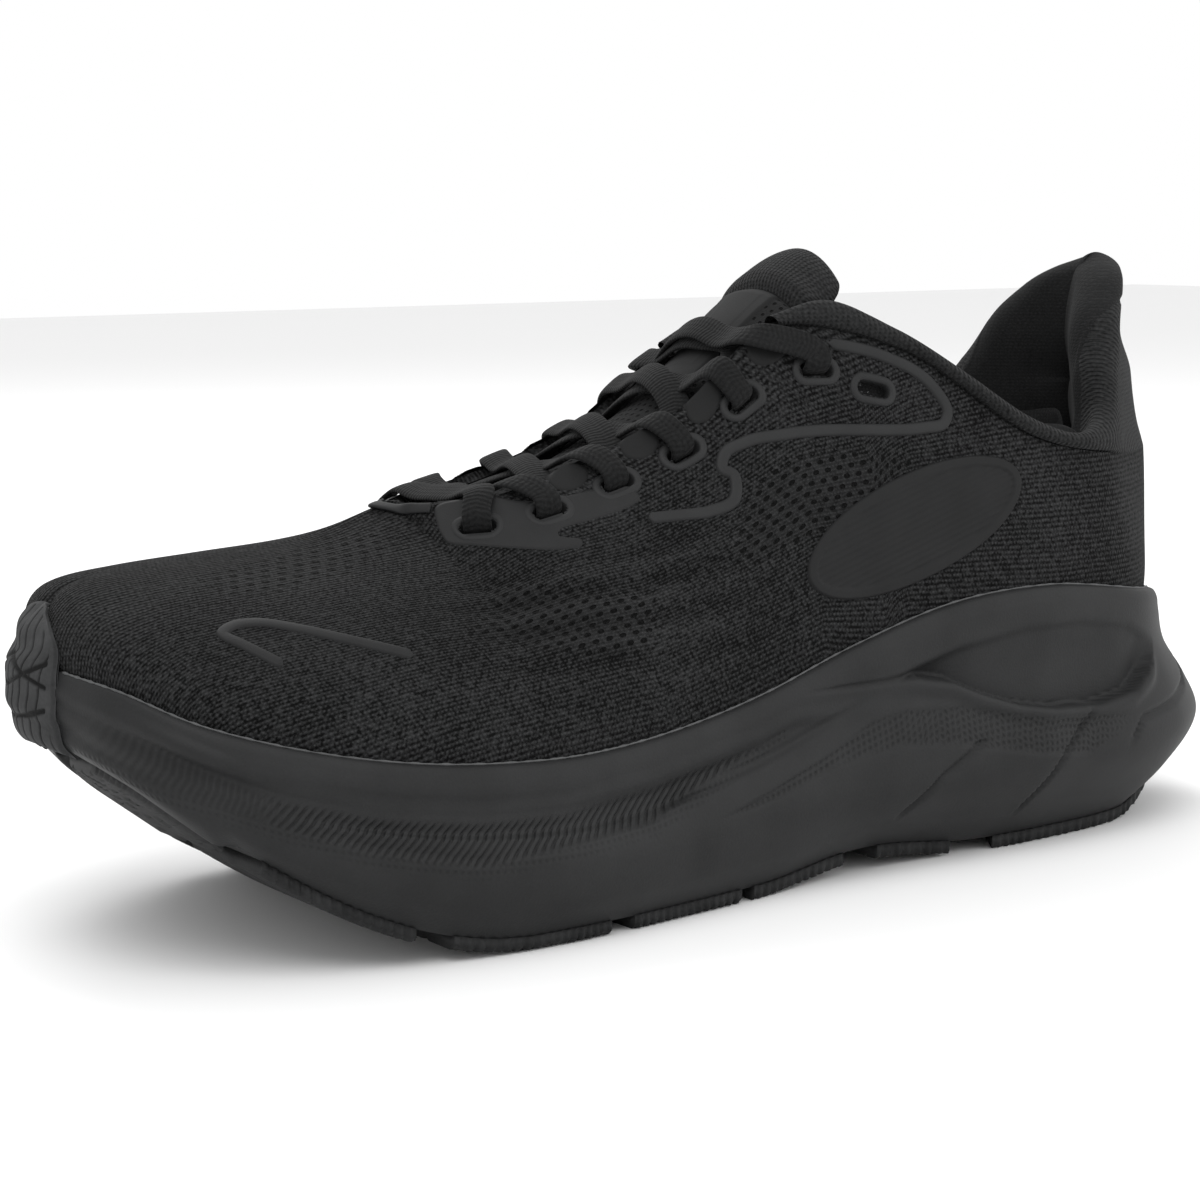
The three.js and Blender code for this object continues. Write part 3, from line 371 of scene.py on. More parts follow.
# ---------------------------------------------------------------- meshes
def make(name, points, faces, material, body="shoe", uv=None, marks=None):
    """A mesh from points in mm. uv is per point, marks are named numbers per point."""
    mesh = bpy.data.meshes.new(name)
    points = np.asarray(points, float).reshape(-1, 3)
    mesh.from_pydata((points * MM).tolist(), [], [tuple(f) for f in faces])
    if uv is not None:
        layer = mesh.uv_layers.new(name="UVMap")
        index = np.empty(len(mesh.loops), int)
        mesh.loops.foreach_get("vertex_index", index)
        layer.data.foreach_set("uv", np.asarray(uv, float).reshape(-1, 2)[index].ravel())
    for mark, values in (marks or {}).items():
        layer = mesh.attributes.new(mark, "FLOAT", "POINT")
        layer.data.foreach_set("value", np.asarray(values, float).ravel())
    mesh.polygons.foreach_set("use_smooth", [True] * len(mesh.polygons))
    mesh.materials.append(material)
    mesh.update()
    piece = bpy.data.objects.new(name, mesh)
    bpy.context.scene.collection.objects.link(piece)
    if body:
        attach(piece, body)
        material.name.split("_")[0]
    return piece


def grid_faces(rows, columns, close_rows=False, close_columns=False, keep=None):
    """Quads between rows of points; keep says which points may start one."""
    i, j = np.meshgrid(np.arange(rows - (not close_rows)),
                       np.arange(columns - (not close_columns)), indexing="ij")
    if keep is not None:
        inside = keep[i, j]
        i, j = i[inside], j[inside]
    i, j = i.ravel(), j.ravel()
    i2, j2 = (i + 1) % rows, (j + 1) % columns
    return np.stack([i * columns + j, i2 * columns + j, i2 * columns + j2, i * columns + j2], 1)


def grid(name, points, material, close_rows=False, flip=False, keep=None, **more):
    """An open sheet through rows of points."""
    rows, columns = points.shape[:2]
    faces = grid_faces(rows, columns, close_rows, keep=keep)
    if flip:
        faces = faces[:, ::-1]
    return make(name, points, faces, material, **more)


def edit(piece, change):
    """Changes a piece's mesh as a bmesh."""
    shape = bmesh.new()
    shape.from_mesh(piece.data)
    change(shape)
    shape.to_mesh(piece.data)
    shape.free()


def outward_faces(piece):
    """Turns the faces of a closed piece outward."""
    edit(piece, lambda shape: bmesh.ops.recalc_face_normals(shape, faces=shape.faces))


def weld(piece):
    """Joins points that lie on each other."""
    edit(piece, lambda shape: bmesh.ops.remove_doubles(shape, verts=shape.verts, dist=WELD_GAP))


def drop_loose(piece):
    """Removes the points that no face uses."""
    def change(shape):
        loose = [p for p in shape.verts if not p.link_faces]
        bmesh.ops.delete(shape, geom=loose, context="VERTS")
    edit(piece, change)


def turn_up(piece, side):
    """Turns a sheet on one side of the shoe so that its faces look away from the shoe."""
    def change(shape):
        if sum(f.normal[1] * side + f.normal[2] for f in shape.faces) < 0:
            bmesh.ops.reverse_faces(shape, faces=shape.faces)
    edit(piece, change)


def loft(name, rings, material, **more):
    """A closed body through closed rings of points, with flat ends."""
    rows, columns = rings.shape[:2]
    sides = grid_faces(rows, columns, close_columns=True)
    ends = [range(columns)[::-1], range((rows - 1) * columns, rows * columns)]
    piece = make(name, rings, [*sides, *ends], material, **more)
    outward_faces(piece)
    return piece


def shell(name, outer, inner, material, uv=None, marks=None):
    """A sheet of material with an outer and an inner face and closed edges."""
    rows, columns = outer.shape[:2]
    count = rows * columns
    front = grid_faces(rows, columns)
    back = front[:, ::-1] + count
    index = np.arange(count).reshape(rows, columns)
    sides = [index[0, :-1], index[:-1, -1], index[-1, :0:-1], index[:0:-1, 0]]
    border = np.concatenate(sides).tolist()
    edge = [(a, a + count, b + count, b) for a, b in zip(border, border[1:] + border[:1])]
    points = np.concatenate([outer.reshape(-1, 3), inner.reshape(-1, 3)])
    twice = None if uv is None else np.concatenate([uv.reshape(-1, 2)] * 2)
    marks = {m: np.concatenate([np.ravel(x)] * 2) for m, x in (marks or {}).items()}
    return make(name, points, [*front, *back, *edge], material, uv=twice, marks=marks)


def arc_lengths(points, axis):
    """Distance along rows of points from the first one."""
    steps = np.linalg.norm(np.diff(points, axis=axis), axis=-1)
    start = np.zeros_like(np.take(steps, [0], axis=axis))
    return np.concatenate([start, np.cumsum(steps, axis=axis)], axis=axis)


def facing(normals, way, bias=0.0):
    """Normals turned to the side that way points to."""
    return normals * np.sign((normals * way).sum(-1, keepdims=True) + bias)


def surface_normals(points, close_rows=False):
    """Normals of a sheet of points, turned to either side."""
    if close_rows:
        along = np.roll(points, -1, 0) - np.roll(points, 1, 0)
    else:
        along = np.gradient(points, axis=0)
    return unit(np.cross(along, np.gradient(points, axis=1)))


# ---------------------------------------------------------------- midsole shape
SOLE_UNDER = RUBBER - 0.1      # the foam sinks a little into the rubber pads
RIM_STEPS = ((0.3, 0.3), (1.2, 0.75), (2.4, 0.2), (3.2, -1.6), (3.5, -4.2))    # out and up


def toe_lip(k):
    """How far the foam reaches down outside the toe pad, in mm."""
    return 2.5 * smooth(-fold(k), -3.05, -2.75)


def midsole_wall(k):
    """Control points of the foam's outer wall at stations k, from the rim to the bottom edge."""
    base = feather(k)
    out = outward(k)
    wide = flare(k)
    low = foot(k)
    low[..., 2] = ground(low) + SOLE_UNDER - toe_lip(k)
    toe = (1 - smooth(fold(k), 1.4, 3.4))[..., None]
    rows = []
    for away, rise in RIM_STEPS:
        p = base + out * away * (1 - 0.45 * toe)
        p[..., 2] = base[..., 2] + rise
        rows.append(p)
    under = rows[-1]
    for t, push in ((0.3, -1.4), (0.65, 0.2)):
        rows.append(mix(under, wide, t) + out * mix(push, 0.5, toe))
    shin = mix(wide, low, 0.55) + out * 1.6
    return np.stack([*rows, wide, shin, low], -2)


def along_profile(points, t):
    """Smooth points at t (0 to 1) along control points in the second last axis."""
    last = points.shape[-2] - 1
    x = np.asarray(t) * last
    i = np.clip(np.floor(x).astype(int), 0, last - 1)
    w = (x - i)[..., None]
    a, b, d, e = [points[..., np.clip(i + j, 0, last), :] for j in (-1, 0, 1, 2)]
    return b + 0.5 * w * (d - a + w * (2 * a - 5 * b + 4 * d - e + w * (3 * (b - d) + e - a)))


def curve_in_x(*points):
    """A height in mm read by x, smooth between its points."""
    x, z = np.array(points, float).T
    return lambda at: np.interp(at, x, z)


# Lines moulded into the foam's side, as height over x: a ribbed band along the forefoot, a
# pebbled band behind it, the pocket at the heel and three creases.
RIB_TOP = curve_in_x((-146, 53), (-134, 46), (-124, 40), (-115, 35.8), (-97, 31), (-77, 28),
                     (-58, 27), (-35, 28.7), (-22, 31), (-6, 33.5), (2, 36))
RIB_LOW = curve_in_x((-146, 45), (-134, 37), (-118, 30.5), (-100, 23.5), (-78, 18.6),
                     (-61, 19.8), (-37, 21.4), (-20, 27), (-5, 32.5), (2, 36))
BAND_TOP = curve_in_x((-24, 19.5), (-5, 24.3), (11, 29.5), (23, 34.5), (32, 36), (47, 35.5),
                      (68, 31.5), (86, 30), (100, 29))
BAND_LOW = curve_in_x((-24, 19), (-3, 22), (13, 26.5), (30, 28.5), (46, 27), (67, 22.8),
                      (82, 21), (100, 27))
POCKET_TOP = curve_in_x((26, 42.5), (36, 45.5), (48, 48.8), (66, 51.5), (84, 51.5), (100, 49),
                        (112, 44))
POCKET_LOW = curve_in_x((26, 42), (36, 42.5), (45, 41), (53, 37.6), (62, 34.6), (72, 32.8),
                        (86, 32), (98, 33.5), (107, 38), (112, 43))
RIB_SPAN = (-147, -140, -4, 1)
BAND_SPAN = (-24, -12, 84, 100)
POCKET_SPAN = (26, 40, 104, 112)
RIB_DEPTH = 0.85
BAND_DEPTH = 0.45
POCKET_DEPTH = 3.8
CREASE_DEPTH = 1.1
# Each crease is a line and the stretch of x that it runs over.
CREASES = (
    (curve_in_x((31, 13), (40, 21), (50, 26.5), (54, 28)), 31, 53),
    (curve_in_x((66, 9), (73, 20), (83, 30.5), (85, 32)), 66, 84),
    (curve_in_x((88, 13), (100, 27), (126, 31), (138, 37)), 96, 137),
)


RIM_LINE = feather(np.linspace(0, LOOP, 400))[:200]


def feather_height(p):
    """Height of the foam's upper rim beside a point on its wall."""
    return np.interp(p[..., 0], RIM_LINE[:, 0], RIM_LINE[:, 2])


def between(z, low, high, soft):
    """1 between two heights, fading over soft inside each of them."""
    return smooth(z, low, low + soft) * smooth(-z, -high, -high + soft)


def foam_relief(p):
    """Depth in mm of the moulded relief at points on the foam's wall."""
    x, z = p[..., 0], p[..., 2]
    ribbed = between(z, RIB_LOW(x), RIB_TOP(x), 2.2) * window(x, *RIB_SPAN)
    toe = 1 - smooth(x, -116, -104)
    depth = -ribbed * mix(RIB_DEPTH, 0.3, toe)
    depth += 0.5 * bump(z, RIB_TOP(x) + 1.4, 2.6) * smooth(-x, -40, 0)
    under_rim = feather_height(p) - 11.5
    depth += -0.55 * bump(z, under_rim, 1.6) * window(x, -128, -100, 10, 30)
    depth += -BAND_DEPTH * between(z, BAND_LOW(x), BAND_TOP(x), 0.8) * window(x, *BAND_SPAN)
    floor, roof = POCKET_LOW(x), POCKET_TOP(x)
    rise = np.clip((z - floor) / np.maximum(roof - floor, 0.5), 0, 1)
    inside = smooth(z, floor - 0.2, floor + 0.7) * smooth(-z, -roof, -roof + 3)
    span = window(x, *POCKET_SPAN)
    depth += -inside * span * mix(POCKET_DEPTH, 0.5, rise)
    depth += 1.2 * span * bump(z, floor - 1.8, 3.0)
    depth += -0.8 * window(x, 4, 20, 96, 108) * bump(z, floor + 0.2, 0.9)
    for line, start, end in CREASES:
        gate = window(x, start - 1, start + 2, end - 2, end + 1)
        depth += -CREASE_DEPTH * gate * bump(z, line(x), 1.2)
    return depth


def build_midsole(material):
    """The foam's outer wall, and its ribbed underside between the tread pads."""
    k = np.linspace(0, LOOP, LOOP * 40, endpoint=False)
    wall = along_profile(midsole_wall(k), np.linspace(0, 1, 150))
    normals = facing(surface_normals(wall, close_rows=True), outward(k)[:, None, :], 1e-6)
    wall = wall + normals * foam_relief(wall)[..., None]
    uv = pair(arc_lengths(wall, 0), arc_lengths(wall, 1))
    x, z = wall[..., 0], wall[..., 2]
    grain = between(z, BAND_LOW(x), BAND_TOP(x), 1.2) * window(x, *BAND_SPAN)
    beside_ribs = between(z, RIB_LOW(x) - 2.5, RIB_LOW(x) + 1.5, 1.5) * (x < 0)
    ribbed = between(z, RIB_LOW(x), RIB_TOP(x), 1.6) * window(x, -146, -136, -6, 1)
    toe = 1 - smooth(x, -124, -112)
    # The strokes and lines marks also paint shade into the foam's grooves.
    marks = {"grain": np.maximum(grain, 0.6 * beside_ribs), "strokes": ribbed * (1 - toe),
             "lines": ribbed * toe}
    side = grid("midsole_wall", wall, material, close_rows=True, uv=uv, marks=marks)
    s = np.linspace(0.02, STATIONS - 0.02, 240)
    ends = [foot(s), foot(LOOP - s)]
    across = np.linspace(0, 1, 60)[None, :, None]
    under = mix(ends[0][:, None, :], ends[1][:, None, :], across)
    across = across[..., 0]
    ribs = 0.35 * np.sin(TAU * under[..., 0] / 5.0) * bump(across, 0.5, 0.5)
    widths = np.linalg.norm(ends[0] - ends[1], axis=-1)[:, None]
    from_edge = np.minimum(across, 1 - across) * widths
    lip = toe_lip(s)[:, None] * (1 - smooth(from_edge, 1.5, 3.2))
    under[..., 2] = ground(under) + SOLE_UNDER + ribs - lip
    grid("midsole_under", under, material, uv=under[..., :2], marks={"grain": 0 * from_edge})
    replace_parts(side, "midsole")


def build_highlight_bead():
    """Thin bright line where the upper meets the midsole: a painted highlight along the
    featherline.
    """
    k = np.linspace(0.9, LOOP - 0.9, 900)
    centre = feather(k) + outward(k) * 0.75
    centre[:, 2] += 0.85
    turn = np.linspace(0, TAU, 10, endpoint=False)
    size = (0.24 + 0.1 * np.sin(k * 37) * np.sin(k * 11.3))[:, None]
    ring = (centre[:, None, :] + outward(k)[:, None, :] * (size * np.cos(turn))[..., None]
            + UP * (size * np.sin(turn))[..., None])
    loft("featherline_bead", ring, HIGHLIGHT_BEAD_LOOK, uv=pair(k[:, None], turn))


# ---------------------------------------------------------------- outsole
# Tread pads on each side: first and last station, and width. -1 is lateral and 1 is medial.
PADS = {-1: ((3.25, 4.8, 30), (5.15, 6.85, 32), (7.2, 8.7, 26), (8.85, 10.05, 15),
             (10.4, 11.15, 13)),
        1: ((3.35, 4.8, 30), (5.15, 6.85, 32), (7.2, 8.7, 20), (10.4, 11.15, 13))}
HEEL_PAD = (11.6, 13.9)
HEEL_MIDDLE_X = 84.0
TOE_PAD = (0.86, 2.8)
TOE_PAD_INSET = 3.6
SIDE_NAME = {-1: "lateral", 1: "medial"}
PAD_PROUD = 0.45               # how far the pads stand out past the foam
PAD_ROUND = 0.9
PAD_GROOVE = (7.5, 0.9, 0.9)   # spacing, half width and depth
TOOTH = 2.1                    # length of one small tooth along a pad's edge
TOOTH_DEPTH = 0.22


def pad_ring(edge, inner):
    """Rounded section of a tread pad between its outer and inner edge points."""
    across = np.concatenate([[0, 0.004, 0.02], np.linspace(0.06, 0.94, 22), [0.98, 0.996, 1]])
    line = mix(edge[:, None, :], inner[:, None, :], across[None, :, None])
    low, high = line.copy(), line.copy()
    round_off = PAD_ROUND * (1 - smooth(across, 0, 0.03) * smooth(1 - across, 0, 0.03))
    width = np.linalg.norm(inner - edge, axis=-1)[:, None] * across[None, :]
    spacing, half, deep = PAD_GROOVE
    groove = deep * bump((width % spacing) - spacing / 2, 0, half) * (width > 4)
    teeth = 0.5 * np.abs(np.sin(math.pi * line[..., 0] / TOOTH)) ** 4
    low[..., 2] = ground(low) + round_off + groove + teeth * (1 - smooth(across, 0, 0.12))
    high[..., 2] = ground(high) + RUBBER
    return np.concatenate([low, high[:, ::-1]], 1)


def toothed(s, step_length):
    """Outward steps along a pad's edge, like small square teeth."""
    return TOOTH_DEPTH * np.tanh(2 * np.sin(TAU * s * step_length / TOOTH))


def build_pad(name, edge, inner, material):
    """One tread pad between its outer and inner edges."""
    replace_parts(loft(name + "_tread", pad_ring(edge, inner), material), name)


def build_outsole(material):
    """Tread pads along both sides, at the heel and under the toe."""
    for side in (-1, 1):
        name = f"outsole_{SIDE_NAME[side]}"
        for number, (start, end, reach) in enumerate(PADS[side], 1):
            s = np.linspace(start, end, int((end - start) * 90))
            k = on_side(s, side)
            edge = foot(k) + outward(k) * (PAD_PROUD + toothed(s, 20))[:, None]
            edge[..., 2] = 0
            inner = edge.copy()
            inner[:, 1] = edge[:, 1] - side * reach
            build_pad(f"{name}_pad_{number}", edge, inner, material)
        s = np.linspace(*HEEL_PAD, 260)
        k = on_side(s, side)
        edge = foot(k) + outward(k) * (PAD_PROUD + toothed(s, 24))[:, None]
        inner = mix(edge, np.array([HEEL_MIDDLE_X, side * 5.0, 0.0]), 0.48)
        inner[:, 1] = side * np.maximum(side * inner[:, 1], 3)
        build_pad(f"{name}_heel_pad", edge, inner, material)
    s = np.linspace(*TOE_PAD, 190)
    steps = (toothed(s, 18) - TOE_PAD_INSET)[:, None]
    edge, inner = [foot(k) + outward(k) * steps for k in (s, LOOP - s)]
    build_pad("outsole_toe_pad", edge, inner, material)


# ---------------------------------------------------------------- toe bumper
BUMPER_REACH = 0.88            # stations on each side of the toe's tip
BUMPER_BULGE = 1.5
WEDGE_PITCH = 2.6
WEDGE_DEPTH = 0.55
# Moulded grooves across the bumper: height in the middle, and slope to the sides.
BUMPER_GROOVES = ((58.5, -0.34), (53.5, 0.36), (47.5, 0.18), (42.5, -0.16), (37.5, 0.14))


def bumper_base(k):
    """The face that the bumper lies on, from under the foam up to its rounded top edge."""
    wall = midsole_wall(k)
    out = outward(k)
    from_middle = k / BUMPER_REACH
    full = out * BUMPER_BULGE * (1 - from_middle[:, None] ** 2)
    wall = wall + full[:, None, :]
    bottom = mix(wall[:, 8], wall[:, 9], 0.8) - UP * 0.8
    rows = [bottom, wall[:, 8], wall[:, 7], wall[:, 6], wall[:, 4], wall[:, 2] + out * 0.4]
    crown = 0.98 - 0.34 * from_middle ** 2
    for t in (0, 0.4, 0.75, 0.93, 1):
        narrowed = k * math.sqrt(1 - (0.66 * t) ** 2)
        rows.append(upper_point(narrowed, mix(0.2, crown, t)) + full * (1 - t) * (0.7 + 3.0 * t))
    t = np.linspace(0, 1, 170)
    columns = np.stack(rows, 1)
    return np.stack([Rail(column)(t * (len(column) - 1)) for column in columns])


def build_bumper(material):
    """Rubber over the toe's tip, with a rounded top edge and moulded grooves."""
    k = np.linspace(-BUMPER_REACH, BUMPER_REACH, 180)
    base = bumper_base(k)
    normals = facing(surface_normals(base), outward(k)[:, None, :], 1e-6)
    y = base[..., 1] - base[len(k) // 2, :, 1][None, :]
    z = base[..., 2]
    lengths = arc_lengths(base, 1)
    from_side = (BUMPER_REACH - np.abs(k))[:, None] * 16
    inside = np.minimum(from_side, lengths[:, -1:] - lengths)
    upright = (y + 0.12 * (z - 52)) % WEDGE_PITCH - WEDGE_PITCH / 2
    wedges = bump(upright, 0, 0.4) * 0.5
    for height, slope in BUMPER_GROOVES:
        wedges = np.maximum(wedges, bump(z - height - slope * np.abs(y - 2), 0, 0.7))
    wedges = wedges * smooth(inside, 1.8, 2.4)
    rise = 0.25 + 0.9 * smooth(inside, 0, 0.8) * smooth(lengths, 0, 3)
    outer = base + normals * (rise - WEDGE_DEPTH * wedges)[..., None]
    # The groove mark darkens the rubber in its grooves: painted shade.
    piece = shell("outsole_toe_bumper_rubber", outer, base - normals * 0.2, material,
                  uv=pair(arc_lengths(base, 0), lengths), marks={"groove": wedges})
    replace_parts(piece, "outsole_toe_bumper")


# ---------------------------------------------------------------- shader numbers
class Num:
    """A number in a shader's node tree, with ordinary arithmetic. Lengths are mm."""

    def __init__(self, tree, socket):
        self.tree, self.socket = tree, socket

    def do(self, operation, *others):
        """The result of a math node."""
        node = self.tree.nodes.new("ShaderNodeMath")
        node.operation = operation
        for slot, value in zip(node.inputs, (self, *others)):
            feed(self.tree, slot, value)
        return Num(self.tree, node.outputs[0])

    def __add__(self, other):
        return self.do("ADD", other)

    def __sub__(self, other):
        return self.do("SUBTRACT", other)

    def __mul__(self, other):
        return self.do("MULTIPLY", other)

    def __mod__(self, other):
        return self.do("FLOORED_MODULO", other)

    def __rsub__(self, other):
        return self * (-1) + other

    __radd__ = __add__
    __rmul__ = __mul__

    def wave(self, pitch):
        """Rises from 0 to 1 and back once in each pitch."""
        return (self * (TAU / pitch)).do("SINE") * 0.5 + 0.5

    def alternate(self, pitch):
        """0 and 1 in turn, one pitch each."""
        return self.do("DIVIDE", pitch).do("FLOOR") % 2

    def clamped(self):
        """Kept between 0 and 1."""
        return self.do("MAXIMUM", 0.0).do("MINIMUM", 1.0)


def feed(tree, socket, value):
    """Joins a number from the tree, or sets a plain value."""
    if isinstance(value, Num):
        tree.links.new(value.socket, socket)
    else:
        socket.default_value = value


def grey(level):
    """A neutral colour from its sRGB level, very slightly cool."""
    linear = level / 12.92 if level < 0.04 else ((level + 0.055) / 1.055) ** 2.4
    return (linear * 0.985, linear, linear * 1.02, 1.0)


class Look:
    """A material under construction."""

    def __init__(self, name, roughness, sheen=0.0, specular=0.4):
        self.material = bpy.data.materials.new(name)
        self.material.use_nodes = True
        self.tree = self.material.node_tree
        self.shader = self.tree.nodes["Principled BSDF"]
        self.shader.inputs["Roughness"].default_value = roughness
        self.shader.inputs["Sheen Weight"].default_value = sheen
        self.shader.inputs["Sheen Roughness"].default_value = 0.5
        self.shader.inputs["Specular IOR Level"].default_value = specular

    def node(self, kind, output, **inputs):
        """One output of a new node."""
        node = self.tree.nodes.new(kind)
        for name, value in inputs.items():
            feed(self.tree, node.inputs[name], value)
        return Num(self.tree, node.outputs[output])

    def split(self, source, *axes):
        """Some of a vector's parts."""
        node = self.tree.nodes.new("ShaderNodeSeparateXYZ")
        feed(self.tree, node.inputs[0], source)
        return [Num(self.tree, node.outputs[i]) for i in axes]

    def uv(self):
        """The piece's own two coordinates, in mm."""
        source = self.node("ShaderNodeUVMap", "UV")
        return self.split(source, 0, 1)

    def mark(self, name):
        """A named number that the mesh carries."""
        node = self.tree.nodes.new("ShaderNodeAttribute")
        node.attribute_name = name
        return Num(self.tree, node.outputs["Fac"])

    def noise(self, size, detail=2.0, stretch=(1, 1, 1)):
        """Cloudy noise from 0 to 1, with clouds of a size in mm."""
        place = self.node("ShaderNodeTexCoord", "Object")
        turn = self.tree.nodes.new("ShaderNodeMapping")
        feed(self.tree, turn.inputs["Vector"], place)
        turn.inputs["Scale"].default_value = [s * 1000 / size for s in stretch]
        cloud = self.tree.nodes.new("ShaderNodeTexNoise")
        feed(self.tree, cloud.inputs["Vector"], Num(self.tree, turn.outputs[0]))
        cloud.inputs["Scale"].default_value = 1.0
        cloud.inputs["Detail"].default_value = detail
        return Num(self.tree, cloud.outputs[0])

    def place(self):
        """Position on the piece, in mm along the shoe and up."""
        x, z = self.split(self.node("ShaderNodeTexCoord", "Object"), 0, 2)
        return x * 1000, z * 1000

    def colour(self, dark, light, share):
        """Base colour between two sRGB greys."""
        blend = self.tree.nodes.new("ShaderNodeMix")
        blend.data_type = "RGBA"
        feed(self.tree, blend.inputs[0], share.clamped())
        blend.inputs[6].default_value = grey(dark)
        blend.inputs[7].default_value = grey(light)
        self.tree.links.new(blend.outputs[2], self.shader.inputs["Base Color"])
        return self

    def relief(self, height):
        """Bump from a height in mm."""
        bump_node = self.tree.nodes.new("ShaderNodeBump")
        bump_node.inputs["Distance"].default_value = MM
        feed(self.tree, bump_node.inputs["Height"], height)
        self.tree.links.new(bump_node.outputs[0], self.shader.inputs["Normal"])
        return self.material


STITCH, STITCH_ROW = 0.9, 1.05         # mm; length of a stitch and height of a row
HOLE_STEP, HOLE_ROW = 3.2, 2.6         # mm; spacing of the open knit's holes


def knit_look():
    """Engineered knit: rows of stitches, bolder at the toe, with open mesh zones."""
    look = Look("knit_rows", 0.95, sheen=0.02, specular=0.1)
    along, row = look.uv()
    strong, opened = look.mark("strong"), look.mark("open")
    row = row + look.noise(5) * 0.5
    odd = row.alternate(STITCH_ROW)
    stitch = (along + odd * (STITCH / 2) + look.noise(2.5) * 0.5).wave(STITCH)
    shift = (row + HOLE_ROW / 2).alternate(HOLE_ROW) * (HOLE_STEP / 2)
    # The open knit's holes are painted dark below: painted shade in the holes.
    hole = ((along + shift).wave(HOLE_STEP) * (row + HOLE_ROW / 4).wave(HOLE_ROW) - 0.42) * 6
    hole = hole.clamped() * opened
    yarn = (look.noise(0.8, 4) - 0.5) * 2.2
    cloud = (look.noise(22, 2) - 0.5) * 0.45
    loops = row.wave(STITCH_ROW) * (stitch * 0.7 + 0.3)
    calm = 1 - opened * 0.5
    share = (loops * 0.7 + yarn) * calm + cloud + 0.12 + opened * 0.2
    # Painted shade: the ripple mark makes the knit lighter on the crests of its ripples and darker
    # in their troughs.
    look.colour(0.01, 0.195, share + look.mark("ripple") * 0.1 + hole * (-1.6))
    return look.relief(loops * (strong * 0.3 + 0.2) + yarn * 0.12 + hole * (-0.6))


def rib_look(name, pitch, dark, light):
    """Ribbed knit: ribs across the piece, small stitches along each rib."""
    look = Look(name, 0.94, sheen=0.03, specular=0.12)
    across, along = look.uv()
    rib = (across + look.noise(7) * 1.6).wave(pitch)
    stitch = (along + rib * 0.3).wave(0.9)
    yarn = look.noise(0.7, 4) * 1.3 + look.noise(14, 2) * 0.4
    loops = rib * 0.17 + stitch * 0.14 + yarn * 1.15 + (-0.62)
    look.colour(dark, light, loops)
    return look.relief(rib * 0.2 + stitch * 0.12 + yarn * 0.1)


def lining_look(name="lining_cloth", dark=0.035, light=0.175):
    """Fine warp-knit lining with small round pores."""
    look = Look(name, 0.95, sheen=0.03, specular=0.1)
    across, along = look.uv()
    pores = (across + along.alternate(0.8) * 0.5).wave(1.0) * along.wave(0.8)
    yarn = look.noise(0.4, 3) * 0.6 + look.noise(14, 2) * 0.3
    look.colour(dark, light, pores * 0.16 + yarn * 1.3 + (-0.3))
    return look.relief(pores * 0.06 + yarn * 0.2)


def foam_look():
    """Moulded foam skin: fine grain and mottling, with strokes and pebbles where marked."""
    look = Look("foam_skin", 0.55, specular=0.16)
    across, along = look.uv()
    grain, strokes, lines = look.mark("grain"), look.mark("strokes"), look.mark("lines")
    x, z = look.place()
    pebbles = across.wave(1.5) * along.wave(1.5)
    stroke = ((x * 0.7 + z * (-0.71) + look.noise(9) * 0.3).wave(1.4) - 0.4) * 1.7
    line = (x * 0.96 + z * (-0.28)).wave(1.15)
    skin = look.noise(0.5, 3)
    cloud = look.noise(16, 3)
    # Painted shade: the moulded strokes and lines are darker where they are cut in.
    cut = stroke.clamped() * strokes + line * lines * 0.5
    share = cloud * 0.7 + skin * 0.3 + 0.1 + pebbles * grain * (-0.35) + cut * (-0.5)
    look.colour(0.05, 0.17, share)
    return look.relief(skin * 0.06 + pebbles * grain * 0.2 + cut * (-0.3))


def rubber_look(name, light):
    """Blown rubber: matt, finely grained, scuffed paler here and there."""
    look = Look(name, 0.7, specular=0.15)
    skin = look.noise(0.7, 4)
    scuff = (look.noise(7, 4) - 0.5) * 1.4
    groove = look.mark("groove")
    # Painted shade: the moulded grooves are darker.
    look.colour(0.06, light, skin * 0.3 + 0.35 + scuff * 0.7 + groove * (-0.9))
    return look.relief(skin * 0.09 + scuff.clamped() * 0.05)


def film_look(name="film_weld", dark=0.1, light=0.15, roughness=0.6):
    """Welded film: smooth with a faint grain and slight unevenness."""
    look = Look(name, roughness, specular=0.14)
    skin = look.noise(0.35, 2)
    cloud = look.noise(8, 3)
    look.colour(dark, light, cloud * 0.8 + skin * 0.25 + (-0.05))
    return look.relief(skin * 0.035 + cloud * 0.06)


def lace_look():
    """Flat woven lace: fine ribs across it, a herringbone and a fuzzy edge."""
    look = Look("lace_weave", 0.9, sheen=0.03, specular=0.12)
    along, across = look.uv()
    lean = across.do("ABSOLUTE") * 0.28
    weft = (along + lean + look.noise(3) * 0.5).wave(1.05)
    warp = across.wave(1.3)
    yarn = look.noise(0.5, 4)
    cloud = look.noise(10, 2)
    look.colour(0.025, 0.14, weft * 0.16 + warp * 0.06 + yarn * 0.85 + cloud * 0.35 + (-0.33))
    return look.relief(weft * 0.1 + warp * 0.05 + yarn * 0.14)


def mesh_look():
    """Open spacer mesh on the sides of the tongue."""
    look = Look("collar_mesh", 0.95, sheen=0.02, specular=0.1)
    across, along = look.uv()
    cells = (across + along.alternate(1.9) * 1.1).wave(2.2) * along.wave(1.9)
    hole = ((cells - 0.45) * 3).clamped()
    yarn = look.noise(0.4, 3)
    # Painted shade: the mesh's holes are painted dark.
    look.colour(0.01, 0.14, hole * (-0.8) + yarn * 0.5 + 0.42)
    return look.relief(hole * (-0.5) + yarn * 0.12)


